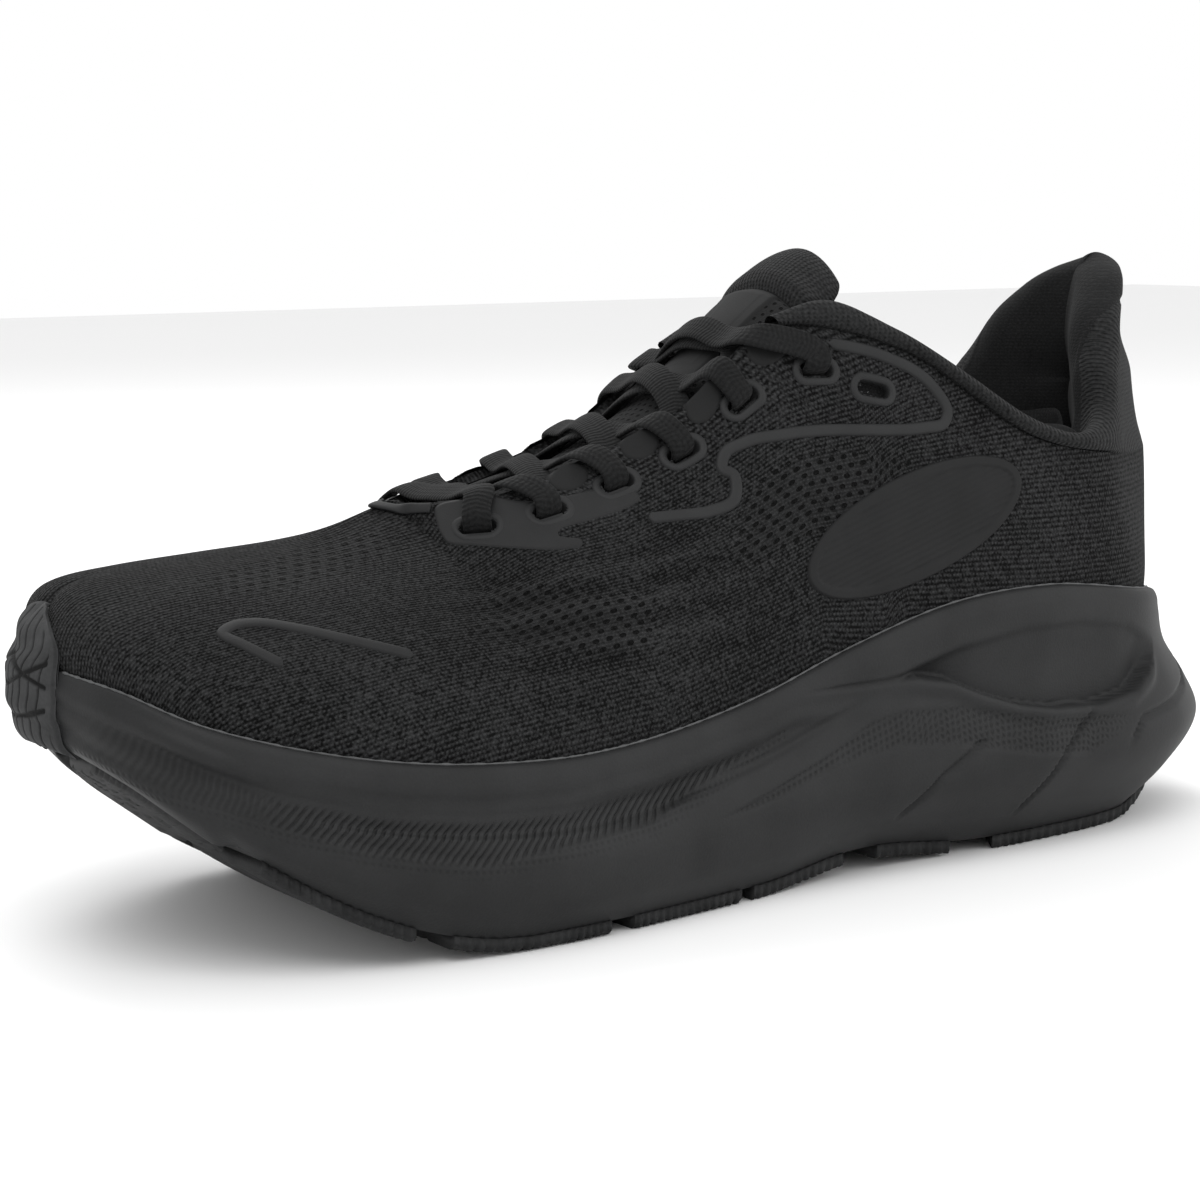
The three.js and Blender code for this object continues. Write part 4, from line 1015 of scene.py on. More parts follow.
def plain_look(name, dark, light, size, roughness, height):
    """A moulded or felted surface: graininess at two sizes."""
    look = Look(name, roughness)
    skin = look.noise(size, 4)
    cloud = look.noise(size * 14, 3)
    look.colour(dark, light, skin * 0.5 + cloud * 0.5)
    return look.relief(skin * height)


def board_look():
    """Woven sewing-bottom fabric."""
    look = Look("board_weave", 0.95, specular=0.1)
    place = look.noise(0.6, 3, stretch=(1, 4, 1)) + look.noise(0.6, 3, stretch=(4, 1, 1))
    look.colour(0.3, 0.48, place * 0.5)
    return look.relief(place * 0.15)


KNIT_LOOK = knit_look()
COLLAR_LOOK = rib_look("collar_ribs", 1.25, 0.03, 0.17)
TONGUE_LOOK = rib_look("collar_tongue", 1.1, 0.03, 0.165)
MESH_LOOK = mesh_look()
LINING_LOOK = lining_look()
# Painted shade: the footbed is a darker copy of the lining, for the shade inside the shoe.
FOOTBED_LOOK = lining_look("lining_footbed", 0.01, 0.08)
FOAM_LOOK = foam_look()
RUBBER_LOOK = rubber_look("rubber_skin", 0.2)
BUMPER_LOOK = rubber_look("rubber_bumper", 0.27)
# Painted highlight: a bright grey for the thin bead along the featherline.
HIGHLIGHT_BEAD_LOOK = plain_look("foam_bead", 0.1, 0.36, 2.0, 0.6, 0.03)
FILM_LOOK = film_look()
RING_LOOK = film_look("film_ring", 0.115, 0.17, 0.55)
BLOCK_LOOK = film_look("film_block", 0.07, 0.12, 0.7)
LABEL_LOOK = film_look("film_label", 0.08, 0.13, 0.75)
EMBLEM_LOOK = film_look("film_emblem", 0.075, 0.12, 0.6)
LACE_LOOK = lace_look()
PLASTIC_LOOK = plain_look("plastic_moulded", 0.08, 0.14, 0.8, 0.45, 0.03)
PADDING_LOOK = plain_look("padding_cells", 0.13, 0.2, 0.6, 0.95, 0.25)
BOARD_LOOK = board_look()
# The solids that no piece replaces, inside the shoe.
plain = {"plastic": PLASTIC_LOOK, "board": BOARD_LOOK, "padding": PADDING_LOOK,
         "lining": LINING_LOOK}
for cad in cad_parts.values():
    for holder in cad.material_slots:
        label = holder.material.name.split(".")[0] if holder.material else ""
        holder.material = plain.get(label, FOAM_LOOK)


# ---------------------------------------------------------------- upper
EYELET_FIRST = 6.64            # station of the lowest lace hole
EYELET_PITCH = 0.732           # stations
EYELET_COUNT = 7
EYELET_V = (0.835, 0.865)      # v of the first and the sixth hole
SPARE = (10.72, 0.825)         # station and v of the seventh hole, which is not laced


def eyelet_at(side, i):
    """(k, v) of a lace hole, counted from 1 at the front."""
    if i == EYELET_COUNT:
        return on_side(SPARE[0], side), SPARE[1]
    return on_side(EYELET_FIRST + EYELET_PITCH * (i - 1), side), mix(*EYELET_V, (i - 1) / 5)


def eyelet_frame(side, i):
    """Centre, outward normal, up along the throat, and away from it, at one lace hole."""
    k, v = eyelet_at(side, i)
    normal = upper_normal(k, v)
    high = min(v, 0.9)
    along = (upper_point(k + 0.3, high) - upper_point(k - 0.3, high)) * -side
    along = unit(along - normal * np.dot(along, normal))
    return upper_point(k, v), normal, along, np.cross(along, normal) * -side


def stadium_reach(a, b, size):
    """Distance in mm outside a stadium outline, negative inside it."""
    length, width = size
    flat = np.maximum(np.abs(a) - (length - width) / 2, 0)
    return np.hypot(flat, b) - width / 2


def hole_reach(points, side):
    """Distance from points on one side to the edge of the nearest lace hole."""
    nearest = np.full(points.shape[:-1], 99.0)
    for i in range(1, EYELET_COUNT + 1):
        centre, normal, along, away = eyelet_frame(side, i)
        offset = points - centre
        level = np.abs(offset @ normal)
        reach = stadium_reach(offset @ along, offset @ away, EYELET)
        nearest = np.minimum(nearest, np.where(level < 4, reach, 99.0))
    return nearest


def slide(k, v, step):
    """The (k, v) reached by a small step in mm along the upper."""
    e = 0.02
    ek = (upper_point(k + e, v) - upper_point(k - e, v)) / (2 * e)
    ev = (upper_point(k, v + e) - upper_point(k, v - e)) / (2 * e)
    a, b, c = (ek * ek).sum(-1), (ek * ev).sum(-1), (ev * ev).sum(-1)
    p, q = (ek * step).sum(-1), (ev * step).sum(-1)
    det = a * c - b * b
    return k + (c * p - b * q) / det, v + (a * q - b * p) / det


MIDDLE_LINE = ([-140, -127, -100, -66, -30, 13], [67, 72, 75, 82, 90, 110])    # x, height
HEEL_BEND_X = 96


def knit_rows(p):
    """Stitch and row coordinates in mm: rows wrap over the toe and slope down the sides."""
    x, y, z = p[..., 0], np.abs(p[..., 1]), p[..., 2]
    drop = np.interp(x, *MIDDLE_LINE) - z
    down_side = smooth(y + np.maximum(x - 30, 0), 12, 46)
    level = mix(y, 38.0, smooth(x, 30, 90))
    round_heel = 36 * np.arctan2(np.maximum(x - HEEL_BEND_X, 0), np.maximum(y, 0.01))
    along = np.minimum(x, HEEL_BEND_X) + round_heel - drop * (1 - down_side)
    return along, level + 0.95 * down_side * drop


ZONE_EDGE = 0.35


def zone(k, v, corners):
    """1 inside a four-cornered zone of (station, v), fading over its edge."""
    inside = 1.0
    for (k1, v1), (k2, v2) in zip(corners, corners[1:] + corners[:1]):
        cross = (k2 - k1) * (v - v1) * 10 - (v2 - v1) * 10 * (k - k1)
        reach = -cross / math.hypot(k2 - k1, 10 * (v2 - v1))
        inside = inside * smooth(reach, -ZONE_EDGE, ZONE_EDGE)
    return inside


# Zones of open knit, as corners of (station, v).
OPEN_ZONES = (
    [(5.65, 0.37), (6.34, 0.58), (7.82, 0.41), (7.52, 0.26)],
    [(9.35, 0.6), (10.82, 0.56), (10.34, 0.34), (8.93, 0.41)],
    [(3.5, 0.76), (5.2, 0.93), (5.6, 0.82), (3.9, 0.64)],
)


RIPPLE_HEIGHT = 0.4
RIPPLE_PITCH = 11
HEM = 3.0                      # how far the knit is tucked down behind the foam's rim


def double_first(a):
    """Repeats the first column of an array."""
    return np.concatenate([a[:, :1], a], 1)


def build_upper():
    """The knit, as an outer and an inner face that meet round its top edge."""
    k = np.linspace(0, LOOP, LOOP * 27, endpoint=False)[:, None]
    v = np.linspace(0, 1, 112)[None, :]
    outer = upper_point(k, v)
    normals = facing(surface_normals(outer, close_rows=True), outward(k), 0.05)
    station = fold(k)
    round_over = 0.7 * (1 - smooth(1 - v, 0, 0.03)) * window(station, 6, 6.3, 11.6, 12.4)
    along, row = knit_rows(outer)
    closed = np.broadcast_to((station <= THROAT_FRONT + 1e-6) & (v > 0.999), outer.shape[:2])
    wide = window(station, 5.2, 6.4, 8.5, 9.3) * window(v, 0.08, 0.2, 0.54, 0.64)
    ripple = np.sin(TAU * (row - 0.22 * along) / RIPPLE_PITCH) * wide
    lift = np.where(closed, 0, RIPPLE_HEIGHT * ripple - round_over)
    outer = outer + normals * lift[..., None]
    inner = outer - normals * KNIT
    keep = np.minimum(hole_reach(outer, -1), hole_reach(outer, 1)) > 0.2
    marks = {
        "strong": smooth(-outer[..., 0], 20, 90) * smooth(v, 0.2, 0.6),
        # The ripple also paints shade into the knit's colour: lighter on the crests, darker in the
        # troughs.
        "ripple": ripple,
        "open": sum(zone(station, v + 0 * station, corners) for corners in OPEN_ZONES),
    }
    hems = (outer[:, 0] - outward(k[:, 0]) * 0.5 - UP * HEM, inner[:, 0] - UP * HEM)
    sheets = [np.concatenate([hem[:, None], face], 1) for hem, face in zip(hems, (outer, inner))]
    rows, columns = sheets[0].shape[:2]
    count = rows * columns
    front = grid_faces(rows, columns, close_rows=True, keep=double_first(keep))
    top = np.arange(rows) * columns + columns - 1
    after = np.roll(top, -1)
    opened = fold(k[:, 0]) >= THROAT_FRONT - 1e-6
    opened = opened & np.roll(opened, -1)
    edge = np.stack([top, after, after + count, top + count], 1)[opened]
    faces = np.concatenate([front, front[:, ::-1] + count, edge[:, ::-1]])
    uv = double_first(pair(along, row)).reshape(-1, 2)
    marks = {name: np.tile(double_first(mark).ravel(), 2) for name, mark in marks.items()}
    piece = make("upper_knit", np.concatenate(sheets).reshape(-1, 3), faces, KNIT_LOOK,
                 uv=np.tile(uv, (2, 1)), marks=marks)
    weld(piece)
    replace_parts(piece, "upper")


# ---------------------------------------------------------------- films
def polygon_reach(a, b, outline):
    """Signed distance from plane points to a closed outline, negative inside."""
    start, end = outline, np.roll(outline, -1, 0)
    span = end - start
    da = a[..., None] - start[:, 0]
    db = b[..., None] - start[:, 1]
    t = np.clip((da * span[:, 0] + db * span[:, 1]) / (span ** 2).sum(1), 0, 1)
    gap = np.hypot(da - t * span[:, 0], db - t * span[:, 1]).min(-1)
    above = (start[:, 1] > b[..., None]) != (end[:, 1] > b[..., None])
    slope = span[:, 0] / np.where(span[:, 1] == 0, 1e-9, span[:, 1])
    crossing = above & (a[..., None] < start[:, 0] + slope * (b[..., None] - start[:, 1]))
    return np.where(crossing.sum(-1) % 2 == 1, -gap, gap)


PATCH_STEP = 0.4               # mesh size of a film


def film_patch(name, side, corners, material, cad, height):
    """A thin film laid on the upper inside a smooth outline of (station, v) points.

    cad is the node that it replaces, or None."""
    turns = np.linspace(0, len(corners), 12 * len(corners), endpoint=False)
    ring = Rail(corners, closed=True)(turns)[:, :2]
    k0, v0 = ring.mean(0)
    per_k = np.linalg.norm(upper_point(k0 + 0.3, v0) - upper_point(k0 - 0.3, v0)) / 0.6
    per_v = np.linalg.norm(upper_point(k0, v0 + 0.05) - upper_point(k0, v0 - 0.05)) / 0.1
    scale = np.array([per_k, per_v])
    low, high = ring.min(0) - 1.2 / scale, ring.max(0) + 1.2 / scale
    high[1] = min(high[1], 1)
    counts = ((high - low) * scale / PATCH_STEP).astype(int) + 2
    station, v = np.meshgrid(*[np.linspace(*ends) for ends in zip(low, high, counts)],
                             indexing="ij")
    reach = polygon_reach(station * per_k, v * per_v, ring * scale)
    k = on_side(station, side)
    base = upper_point(k, v)
    rise = mix(height, -0.35, smooth(reach, -0.5, 0.25))
    points = base + upper_normal(k, v) * rise[..., None]
    keep = (reach < 0.7) & (hole_reach(base, side) > 0.1)
    piece = grid(name, points, material, flip=side > 0, keep=keep, uv=pair(*knit_rows(base)))
    drop_loose(piece)
    if cad:
        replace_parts(piece, cad)


# Section of a film line: share of its half width, and share of its height.
RIBBON_ACROSS = np.array([-1.12, -1.0, -0.86, -0.6, 0, 0.6, 0.86, 1.0, 1.12])
RIBBON_LIFT = np.array([-0.3, 0.1, 0.75, 0.95, 1, 0.95, 0.75, 0.1, -0.3])


RIBBON_STEPS = 14              # per point of the path


def film_ribbon(name, side, path, width, height, material, cad):
    """A raised film line along (station, v) points, with round ends."""
    last = len(path) - 1
    t = np.linspace(0, last, last * RIBBON_STEPS)
    route = Rail([[on_side(s, side), v] for s, v in path])
    k, v = route(t)[:, 0], route(t)[:, 1]
    centre = upper_point(k, v)
    along = unit(np.gradient(centre, axis=0))
    sideways = np.cross(upper_normal(k, v), along)
    lengths = arc_lengths(centre, 0)
    end = np.minimum(lengths, lengths[-1] - lengths) / (width / 2)
    half = (width / 2 * np.sqrt(1 - (1 - np.clip(end, 0, 1)) ** 2) + 0.02)[:, None]
    offset = half * RIBBON_ACROSS
    k2, v2 = slide(k[:, None], v[:, None], sideways[:, None, :] * offset[..., None])
    lift = RIBBON_LIFT * height * np.minimum(1, half / 0.7)
    points = on_upper(k2, np.minimum(v2, 1), lift)
    piece = grid(name, points, material, uv=pair(lengths[:, None], offset))
    turn_up(piece, side)
    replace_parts(piece, cad)


# Outline of the forked film over the lowest lace holes, as (station, v).
EYESTAY_OUTLINE = [
    (6.17, 0.765), (6.22, 0.81), (6.33, 0.88), (6.44, 0.95), (6.58, 0.985), (7.0, 0.985),
    (7.2, 0.93), (7.53, 0.89), (8.0, 0.85), (8.22, 0.81), (8.24, 0.765), (8.1, 0.745),
    (7.7, 0.748), (7.34, 0.752), (7.3, 0.735), (7.48, 0.69), (7.44, 0.665), (7.2, 0.675),
    (6.84, 0.71), (6.45, 0.745), (6.22, 0.753),
]
BLOCKS = ((7.74, 0.95), (8.5, 0.955), (9.22, 0.955), (9.95, 0.96))    # between the holes
BLOCK_SIZE = (0.2, 0.06)       # half its length in stations, and half its height in v


def build_films():
    """All the film on the upper, and the cloth behind the spare lace holes."""
    for side in (-1, 1):
        name = SIDE_NAME[side]
        film_patch(f"eyestay_{name}_film", side, EYESTAY_OUTLINE, FILM_LOOK,
                   f"eyestay_film_{name}", 0.3)
        turn = np.linspace(0, TAU, 12, endpoint=False)
        for number, middle in enumerate(BLOCKS, 1):
            ring = middle + pair(np.cos(turn), np.sin(turn)) * BLOCK_SIZE
            film_patch(f"eyestay_{name}_block_{number}", side, ring, BLOCK_LOOK, None, 0.22)
        film_ribbon(f"contour_{name}_line", side, CONTOUR_PATH, 2.5, 0.55, RING_LOOK,
                    f"contour_film_{name}")
        film_ribbon(f"toe_{name}_line", side, TOE_STRIPE_PATH, 2.3, 0.45, FILM_LOOK,
                    f"toe_stripe_{name}")
        build_emblem(side)
        for i in range(1, EYELET_COUNT + 1):
            build_ring(side, i)
        build_backing(side)


def build_backing(side):
    """Lining cloth behind the spare lace hole."""
    k0, v0 = eyelet_at(side, EYELET_COUNT)
    _, _, up, away = eyelet_frame(side, EYELET_COUNT)
    turn = np.linspace(0, TAU, 40, endpoint=False)[:, None]
    reach = np.linspace(0.05, 6.5, 12)[None, :]
    a, b = reach * np.cos(turn), reach * np.sin(turn)
    k, v = slide(k0, v0, a[..., None] * up + b[..., None] * away)
    points = on_upper(k, v, -KNIT - 0.15 + 0 * a)
    grid(f"spare_hole_{SIDE_NAME[side]}_backing", points, LINING_LOOK, close_rows=True,
         uv=pair(a, b))


def build_emblem(side):
    """A plain oval badge: a raised border round a finely ribbed field."""
    station = np.linspace(9.0, 12.7, 360)[:, None]
    v = np.linspace(0.0, 0.9, 260)[None, :]
    k = on_side(station, side)
    base = upper_point(k, v)
    x, _, z = np.moveaxis(base - upper_point(*EMBLEM_MIDDLE), -1, 0)
    a = x * math.cos(EMBLEM_TILT) + z * math.sin(EMBLEM_TILT)
    b = z * math.cos(EMBLEM_TILT) - x * math.sin(EMBLEM_TILT)
    long, short = EMBLEM_HALF
    size = np.hypot(a / long, b / short)
    slope = np.hypot(a / long ** 2, b / short ** 2) / np.maximum(size, 1e-3)
    reach = (size - 1) / np.maximum(slope, 1e-3)
    field = smooth(-reach, 1.9, 2.9)
    rise = mix(0.5, -0.35, smooth(reach, -0.4, 0.2))
    rise = rise + field * (0.1 * np.sin(TAU * b / EMBLEM_RIB) - 0.3)
    points = base + upper_normal(k, v) * rise[..., None]
    piece = grid(f"side_{SIDE_NAME[side]}_emblem", points, EMBLEM_LOOK, flip=side > 0,
                 keep=reach < 0.6, uv=pair(a, b))
    drop_loose(piece)
    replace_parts(piece, f"side_emblem_{SIDE_NAME[side]}")


# Section of a ring: how far outside the hole's edge, and how far above the knit.
RING_GROW = [1.9, 1.75, 1.5, 0.9, 0.4, 0.08, 0]
RING_RISE = np.array([-0.25, 0.1, 0.38, 0.45, 0.42, 0.15, -0.6, -KNIT])
RING_LIP = -0.8                # the film closes in on the lace behind the knit


def build_ring(side, i):
    """Film ring round a lace hole, turned down into the hole."""
    k, v = eyelet_at(side, i)
    _, normal, up, away = eyelet_frame(side, i)
    turn = np.linspace(0, TAU, 48, endpoint=False)[:, None]
    length, width = EYELET
    end = np.sign(np.cos(turn)) * smooth(np.abs(np.cos(turn)), 0, 0.25)
    lip = 0 if i == EYELET_COUNT else RING_LIP
    radius = width / 2 + np.array([*RING_GROW, lip])
    a, b = end * (length - width) / 2 + radius * np.cos(turn), radius * np.sin(turn)
    k2, v2 = slide(k, v, a[..., None] * up + b[..., None] * away)
    points = upper_point(k2, np.minimum(v2, 1)) + normal * RING_RISE[:, None]
    piece = grid(f"eyelet_{SIDE_NAME[side]}_{i}_ring", points, RING_LOOK, close_rows=True,
                 uv=pair(a, b))
    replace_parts(piece, f"eyelet_film_{SIDE_NAME[side]}_{i}")


# ---------------------------------------------------------------- collar and heel
# The collar runs over c, from 0 at its lateral front end to COLLAR_LAST at the heel, and on to
# COLLAR_SPAN at its medial front end.
GAP = 0.4                      # air between two layers
LINING = 1.2
COLLAR_LAST = len(COLLAR) - 1
COLLAR_SPAN = 2 * COLLAR_LAST
collar_row = Table([[row[0], *row[2:]] for row in COLLAR])
MEDIAL_RIM = [[row[1][0], -row[1][1], row[1][2] - drop] for row, drop in zip(COLLAR, MEDIAL_DROP)]
rim = Rail([row[1] for row in COLLAR] + MEDIAL_RIM[:-1][::-1])


def fold_collar(c):
    """c of the same place on the lateral side."""
    return np.minimum(c, COLLAR_SPAN - c)


def seam_station(c):
    """k of the seam that joins the collar to the knit."""
    station = collar_row(fold_collar(c))[..., 0]
    return np.where(c <= COLLAR_LAST, station, LOOP - station)


def pad_floor(station):
    """v where the padding ends inside the upper."""
    return mix(0.95, 0.56, smooth(station, 10.9, 12.6))


def collar_point(c, r):
    """r is 0 at the bottom of the padding, 1 at the seam and 2 at the rim."""
    k = seam_station(c)
    below = bare_upper(k, mix(pad_floor(fold(k)), 1.0, np.clip(r, 0, 1)))
    seam = bare_upper(k, 1)
    top = rim(c)
    bow = collar_row(fold_collar(c))[..., 1:2]
    middle = mix(seam, top, 0.55) + outward(k) * bow
    t = np.clip(r - 1, 0, 1)[..., None]
    above = seam * (1 - t) ** 2 + 2 * middle * t * (1 - t) + top * t * t
    return heel_fill(np.where((r <= 1)[..., None], below, above))


def padding(c, r):
    """Thickness of the foam in mm."""
    row = collar_row(fold_collar(c))
    seam, top = row[..., 2], row[..., 3]
    return np.where(r < 1, mix(0.5 * seam, seam, r), mix(seam, top, r - 1))


def plump(c, r):
    """Extra padding in mm round the heel tab."""
    return 3.4 * smooth(fold_collar(c), 6.2, 7.8) * smooth(r, 0.8, 1.5)


def collar_depth(c, r):
    """Thickness in mm of the whole collar, from the knit to the lining."""
    return KNIT + 3 * GAP + LINING + padding(c, r) + plump(c, r)


RIM_FROM, RIM_TO = 0.8, 1.2    # w where the skin starts to turn over, and where it is inside


def collar_section(c, w):
    """r and depth of the skin. w is 0 at the seam outside, 1 at the rim, 2 at the foot inside."""
    length = np.linalg.norm(rim(c) - upper_point(seam_station(c), 1), axis=-1)
    turn_at = 2 - np.clip(collar_depth(c, 2 + 0 * c) / 2 / length, 0.02, 0.45)
    up = np.clip(w / RIM_FROM, 0, 1)
    over = np.clip((w - RIM_FROM) / (RIM_TO - RIM_FROM), 0, 1)
    down = np.clip((w - RIM_TO) / (2 - RIM_TO), 0, 1)
    r = mix(1.0, turn_at, up) + (2 - turn_at) * np.sin(over * math.pi)
    r = np.where(w > RIM_TO, mix(turn_at, 0.0, down), r)
    depth = collar_depth(c, r)
    turning = np.where(w < RIM_TO, depth * (1 - np.cos(over * math.pi)) / 2, depth)
    return r, np.where(w < RIM_FROM, 0, turning)


def collar_skin(c, w):
    """The collar's surface, with its rolls, grooves and padding."""
    c, w = np.broadcast_arrays(c, w)
    row = fold_collar(c)
    r, depth = collar_section(c, w)
    base = collar_point(c, r)
    below_rim = np.minimum(r, 1.98)
    along = collar_point(c + 0.02, below_rim) - collar_point(c - 0.02, below_rim)
    lower = np.maximum(r - 0.04, np.where(r > 1, 1.0, 0.0))
    upward = collar_point(c, lower + 0.04) - collar_point(c, lower)
    normals = unit(np.cross(along, upward))
    roll = 0.9 * smooth(-row, -6.5, -4.5) * np.sin(np.clip(w, 0, 1) * math.pi)
    seam_groove = 1.1 * bump(w, 0.0, 0.09) * smooth(-row, -6.6, -5.2)
    wrap_groove = 0.45 * bump(w, split_at(c), 0.035) * smooth(row, 6.4, 7.4)
    bolster = 3.0 * bump(row, 8.1, 1.8) * bump(w, 1.55, 0.4)
    channel = 1.2 * bump(row, 10, 0.8) * bump(w, 1.5, 0.5)
    side_puff = 0.8 * bump(w, 1.75, 0.2) * smooth(row, 3, 6)
    puff = smooth(w, 1.15, 1.4) * (bolster - channel + side_puff)
    skin = base + normals * (roll - seam_groove - wrap_groove - depth - puff)[..., None]
    tab = smooth(row, 6.5, 8.5)
    height = skin[..., 2]
    skin[..., 0] += tab * (2.6 * smooth(height, 96, 122) + 2.4 * smooth(height, 116, 131))
    skin[..., 2] -= tab * 2.7 * smooth(skin[..., 2], 122, 133)
    return skin


def round_collar(c):
    """Length in mm round the collar, half way up it."""
    fine = np.linspace(0, COLLAR_SPAN, 400)
    middle = mix(upper_point(seam_station(fine), 1), rim(fine), 0.5)
    return np.interp(c, fine, arc_lengths(middle, 0))


SPLIT_ROWS = (6, 7, 7.5, 8, 8.5, 9, 10)
SPLIT_W = (1.12, 1.1, 1.02, 0.9, 0.78, 0.72, 0.7)
HEEL_LINING_FROM = 11.8        # station


def split_at(c):
    """w where the lining's wrap starts: inside the rim in front, down the tab's outside behind."""
    return np.interp(fold_collar(c), SPLIT_ROWS, SPLIT_W)


def collar_cloth(name, c, w, material, cad):
    """One of the two cloths that cover the collar's foam."""
    points = collar_skin(c, w)
    piece = grid(name, points, material, uv=pair(round_collar(c), points[..., 2]))
    face_out(piece)
    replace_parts(piece, cad)


def build_collar():
    """Ribbed cover outside, lining inside, the foam between them, and the lining of the heel."""
    c = np.linspace(0, COLLAR_SPAN, 340)[:, None]
    cover = np.linspace(0, 1, 60)[None, :] * split_at(c)
    wrap = mix(split_at(c) - 0.015, 2.0, np.linspace(0, 1, 130)[None, :])
    collar_cloth("collar_ribbed_knit", c, cover, COLLAR_LOOK, "collar_knit")
    collar_cloth("collar_padded_lining", c, wrap, LINING_LOOK, "collar_lining")
    r = np.linspace(0.06, 1, 40)[None, :] * (collar_section(c, RIM_FROM + 0 * c)[0] - 0.08)
    base = collar_point(c, r)
    normals = facing(surface_normals(base), outward(seam_station(c)))
    front = base - normals * (KNIT + 2 * GAP + 0.2)
    back = base - normals * (KNIT + 2 * GAP + 0.55 * padding(c, r))[..., None]
    foam = shell("collar_foam_pad", front, back, PADDING_LOOK)
    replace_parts(foam, "collar_foam")
    k = np.linspace(HEEL_LINING_FROM, LOOP - HEEL_LINING_FROM, 150)[:, None]
    v = mix(0.03, pad_floor(fold(k)) - 0.06, np.linspace(0, 1, 40)[None, :])
    base = upper_point(k, v)
    normals = upper_normal(k, v)
    front = base - normals * (KNIT + 2 * LINING)
    sheet = shell("heel_lining_cloth", front, front - normals, LINING_LOOK,
                  uv=pair(arc_lengths(base, 0), arc_lengths(base, 1)))
    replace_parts(sheet, "heel_lining")


def face_out(piece):
    """Turns a grid of the collar so that its face behind the heel looks away from the foot."""
    face = piece.data.polygons[len(piece.data.polygons) // 2]
    middle = Vector((0.06, 0, face.center[2]))
    if face.normal.dot(face.center - middle) < 0:
        piece.data.flip_normals()


# ---------------------------------------------------------------- tongue
tongue_row = Table(TONGUE)
TONGUE_LAST = len(TONGUE) - 1
TONGUE_SEAM = 5.8              # row where the padded top starts
LABEL_ROWS = (3.6, 5.85)
LABEL_HALF = 0.62              # half its width, as a share of the tongue's


def tongue_point(row, across):
    """Top of the tongue without its padding: across is -1 and 1 at its edges."""
    line = tongue_row(row)
    x, z, half, radius, lean = [line[..., i] for i in (0, 1, 2, 3, 5)]
    half = half * (1 + 0.16 * bump(row, 5.2, 1.6) + 0.45 * smooth(row, 6.6, 9))
    hang = smooth(row, 5.9, 7) * np.maximum(across, 0)
    y = -half * across * (1 + 0.22 * hang)
    droop = 0.014 * y * y * smooth(row, 5.0, 6.6) + 2.0 * hang ** 2
    return np.stack([x + 0 * y, y, z - lean * y - y * y / (2 * radius) - droop], -1)


def tongue_top(x, y):
    """Height of the tongue, for the lace that lies on it."""
    rows = np.linspace(0, TONGUE_LAST, 901)
    line = tongue_row(rows)
    at = [np.interp(x, line[:, 0], line[:, i]) for i in (1, 3, 5)]
    return at[0] - at[2] * y - y * y / (2 * at[1])


def tongue_skin(row, turn):
    """Padded section: turn runs from the top face round the edges to the lower face."""
    a = np.sin(turn)
    across = np.sign(a) * np.abs(a) ** 0.8
    face = np.cos(turn)
    top = tongue_point(row, across)
    thick = tongue_row(row)[..., 4] * (1 - 0.45 * across * across)
    share = 0.5 - 0.5 * np.sign(face) * np.abs(face) ** 0.35
    normal = np.cross(tongue_point(row, across - 0.02) - tongue_point(row, across + 0.02),
                      tongue_point(row + 0.02, across) - tongue_point(row - 0.02, across))
    normal = unit(normal)
    normal = normal * np.sign(normal[..., 2:3] + 1e-9)
    roll = smooth(row, 5.8, 6.3) * smooth(-row, -9, -8.0)
    groove = -bump(row, TONGUE_SEAM, 0.22) * (face > -0.2)
    quilt = (1.5 * roll + groove) * smooth(face, -0.1, 0.4)
    return top + normal * (quilt - thick * share)[..., None]


def build_tongue():
    row = np.linspace(0.02, TONGUE_LAST - 0.02, 230)[:, None]
    turn = np.linspace(-math.pi, math.pi, 96, endpoint=False)[None, :]
    points = tongue_skin(row, turn)
    uv = pair(points[..., 1], arc_lengths(points, 0))
    split = int(np.searchsorted(row[:, 0], TONGUE_SEAM))
    low, high = slice(0, split + 2), slice(split, None)
    body = loft("tongue_mesh", points[low], MESH_LOOK, uv=uv[low], body="tongue")
    roll = loft("tongue_padded_top", points[high], TONGUE_LOOK, uv=uv[high], body="tongue")
    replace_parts(body, "tongue")
    build_label()


def build_label():
    """A plain woven patch sewn on the tongue."""
    a = np.linspace(-LABEL_HALF, LABEL_HALF, 60)[None, :]
    row = np.linspace(*LABEL_ROWS, 80)[:, None]
    from_end = np.minimum(row - LABEL_ROWS[0], LABEL_ROWS[1] - row) / 0.12
    corner = np.minimum((LABEL_HALF - np.abs(a)) / 0.1, from_end)
    rise = mix(-0.3, 0.55, smooth(corner, 0, 0.7)) + 0.08 * smooth(corner, 2.2, 2.6)
    base = tongue_skin(row + 0 * a, np.arcsin(np.sign(a) * np.abs(a) ** 1.25) + 0 * row)
    points = base + np.array([-0.45, 0, 0.9]) * rise[..., None]
    label = grid("tongue_label_patch", points, LABEL_LOOK, body="tongue",
                 uv=pair(points[..., 1], arc_lengths(points, 0)))
    if label.data.polygons[2000].normal[2] < 0:
        label.data.flip_normals()
    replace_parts(label, "tongue_label")


# ---------------------------------------------------------------- lace
# Heights in mm above the knit's outer face, and above the tongue.
UNDER = -KNIT - 1.35
OVER = 1.85
OVER_RING = 2.0
PAST_EDGE = 1.5                # how far over the throat's edge the lace starts to bend
LOW_STRAND = 2.35
HIGH_STRAND = 4.1
LACED = 6                      # the last hole that the lace goes through


def in_eyelet(side, i, rise, shift):
    """Waypoint at a lace hole: its place, the width's direction and the width."""
    centre, normal, along, away = eyelet_frame(side, i)
    return centre + normal * rise + away * shift, along, SLOT_WIDTH


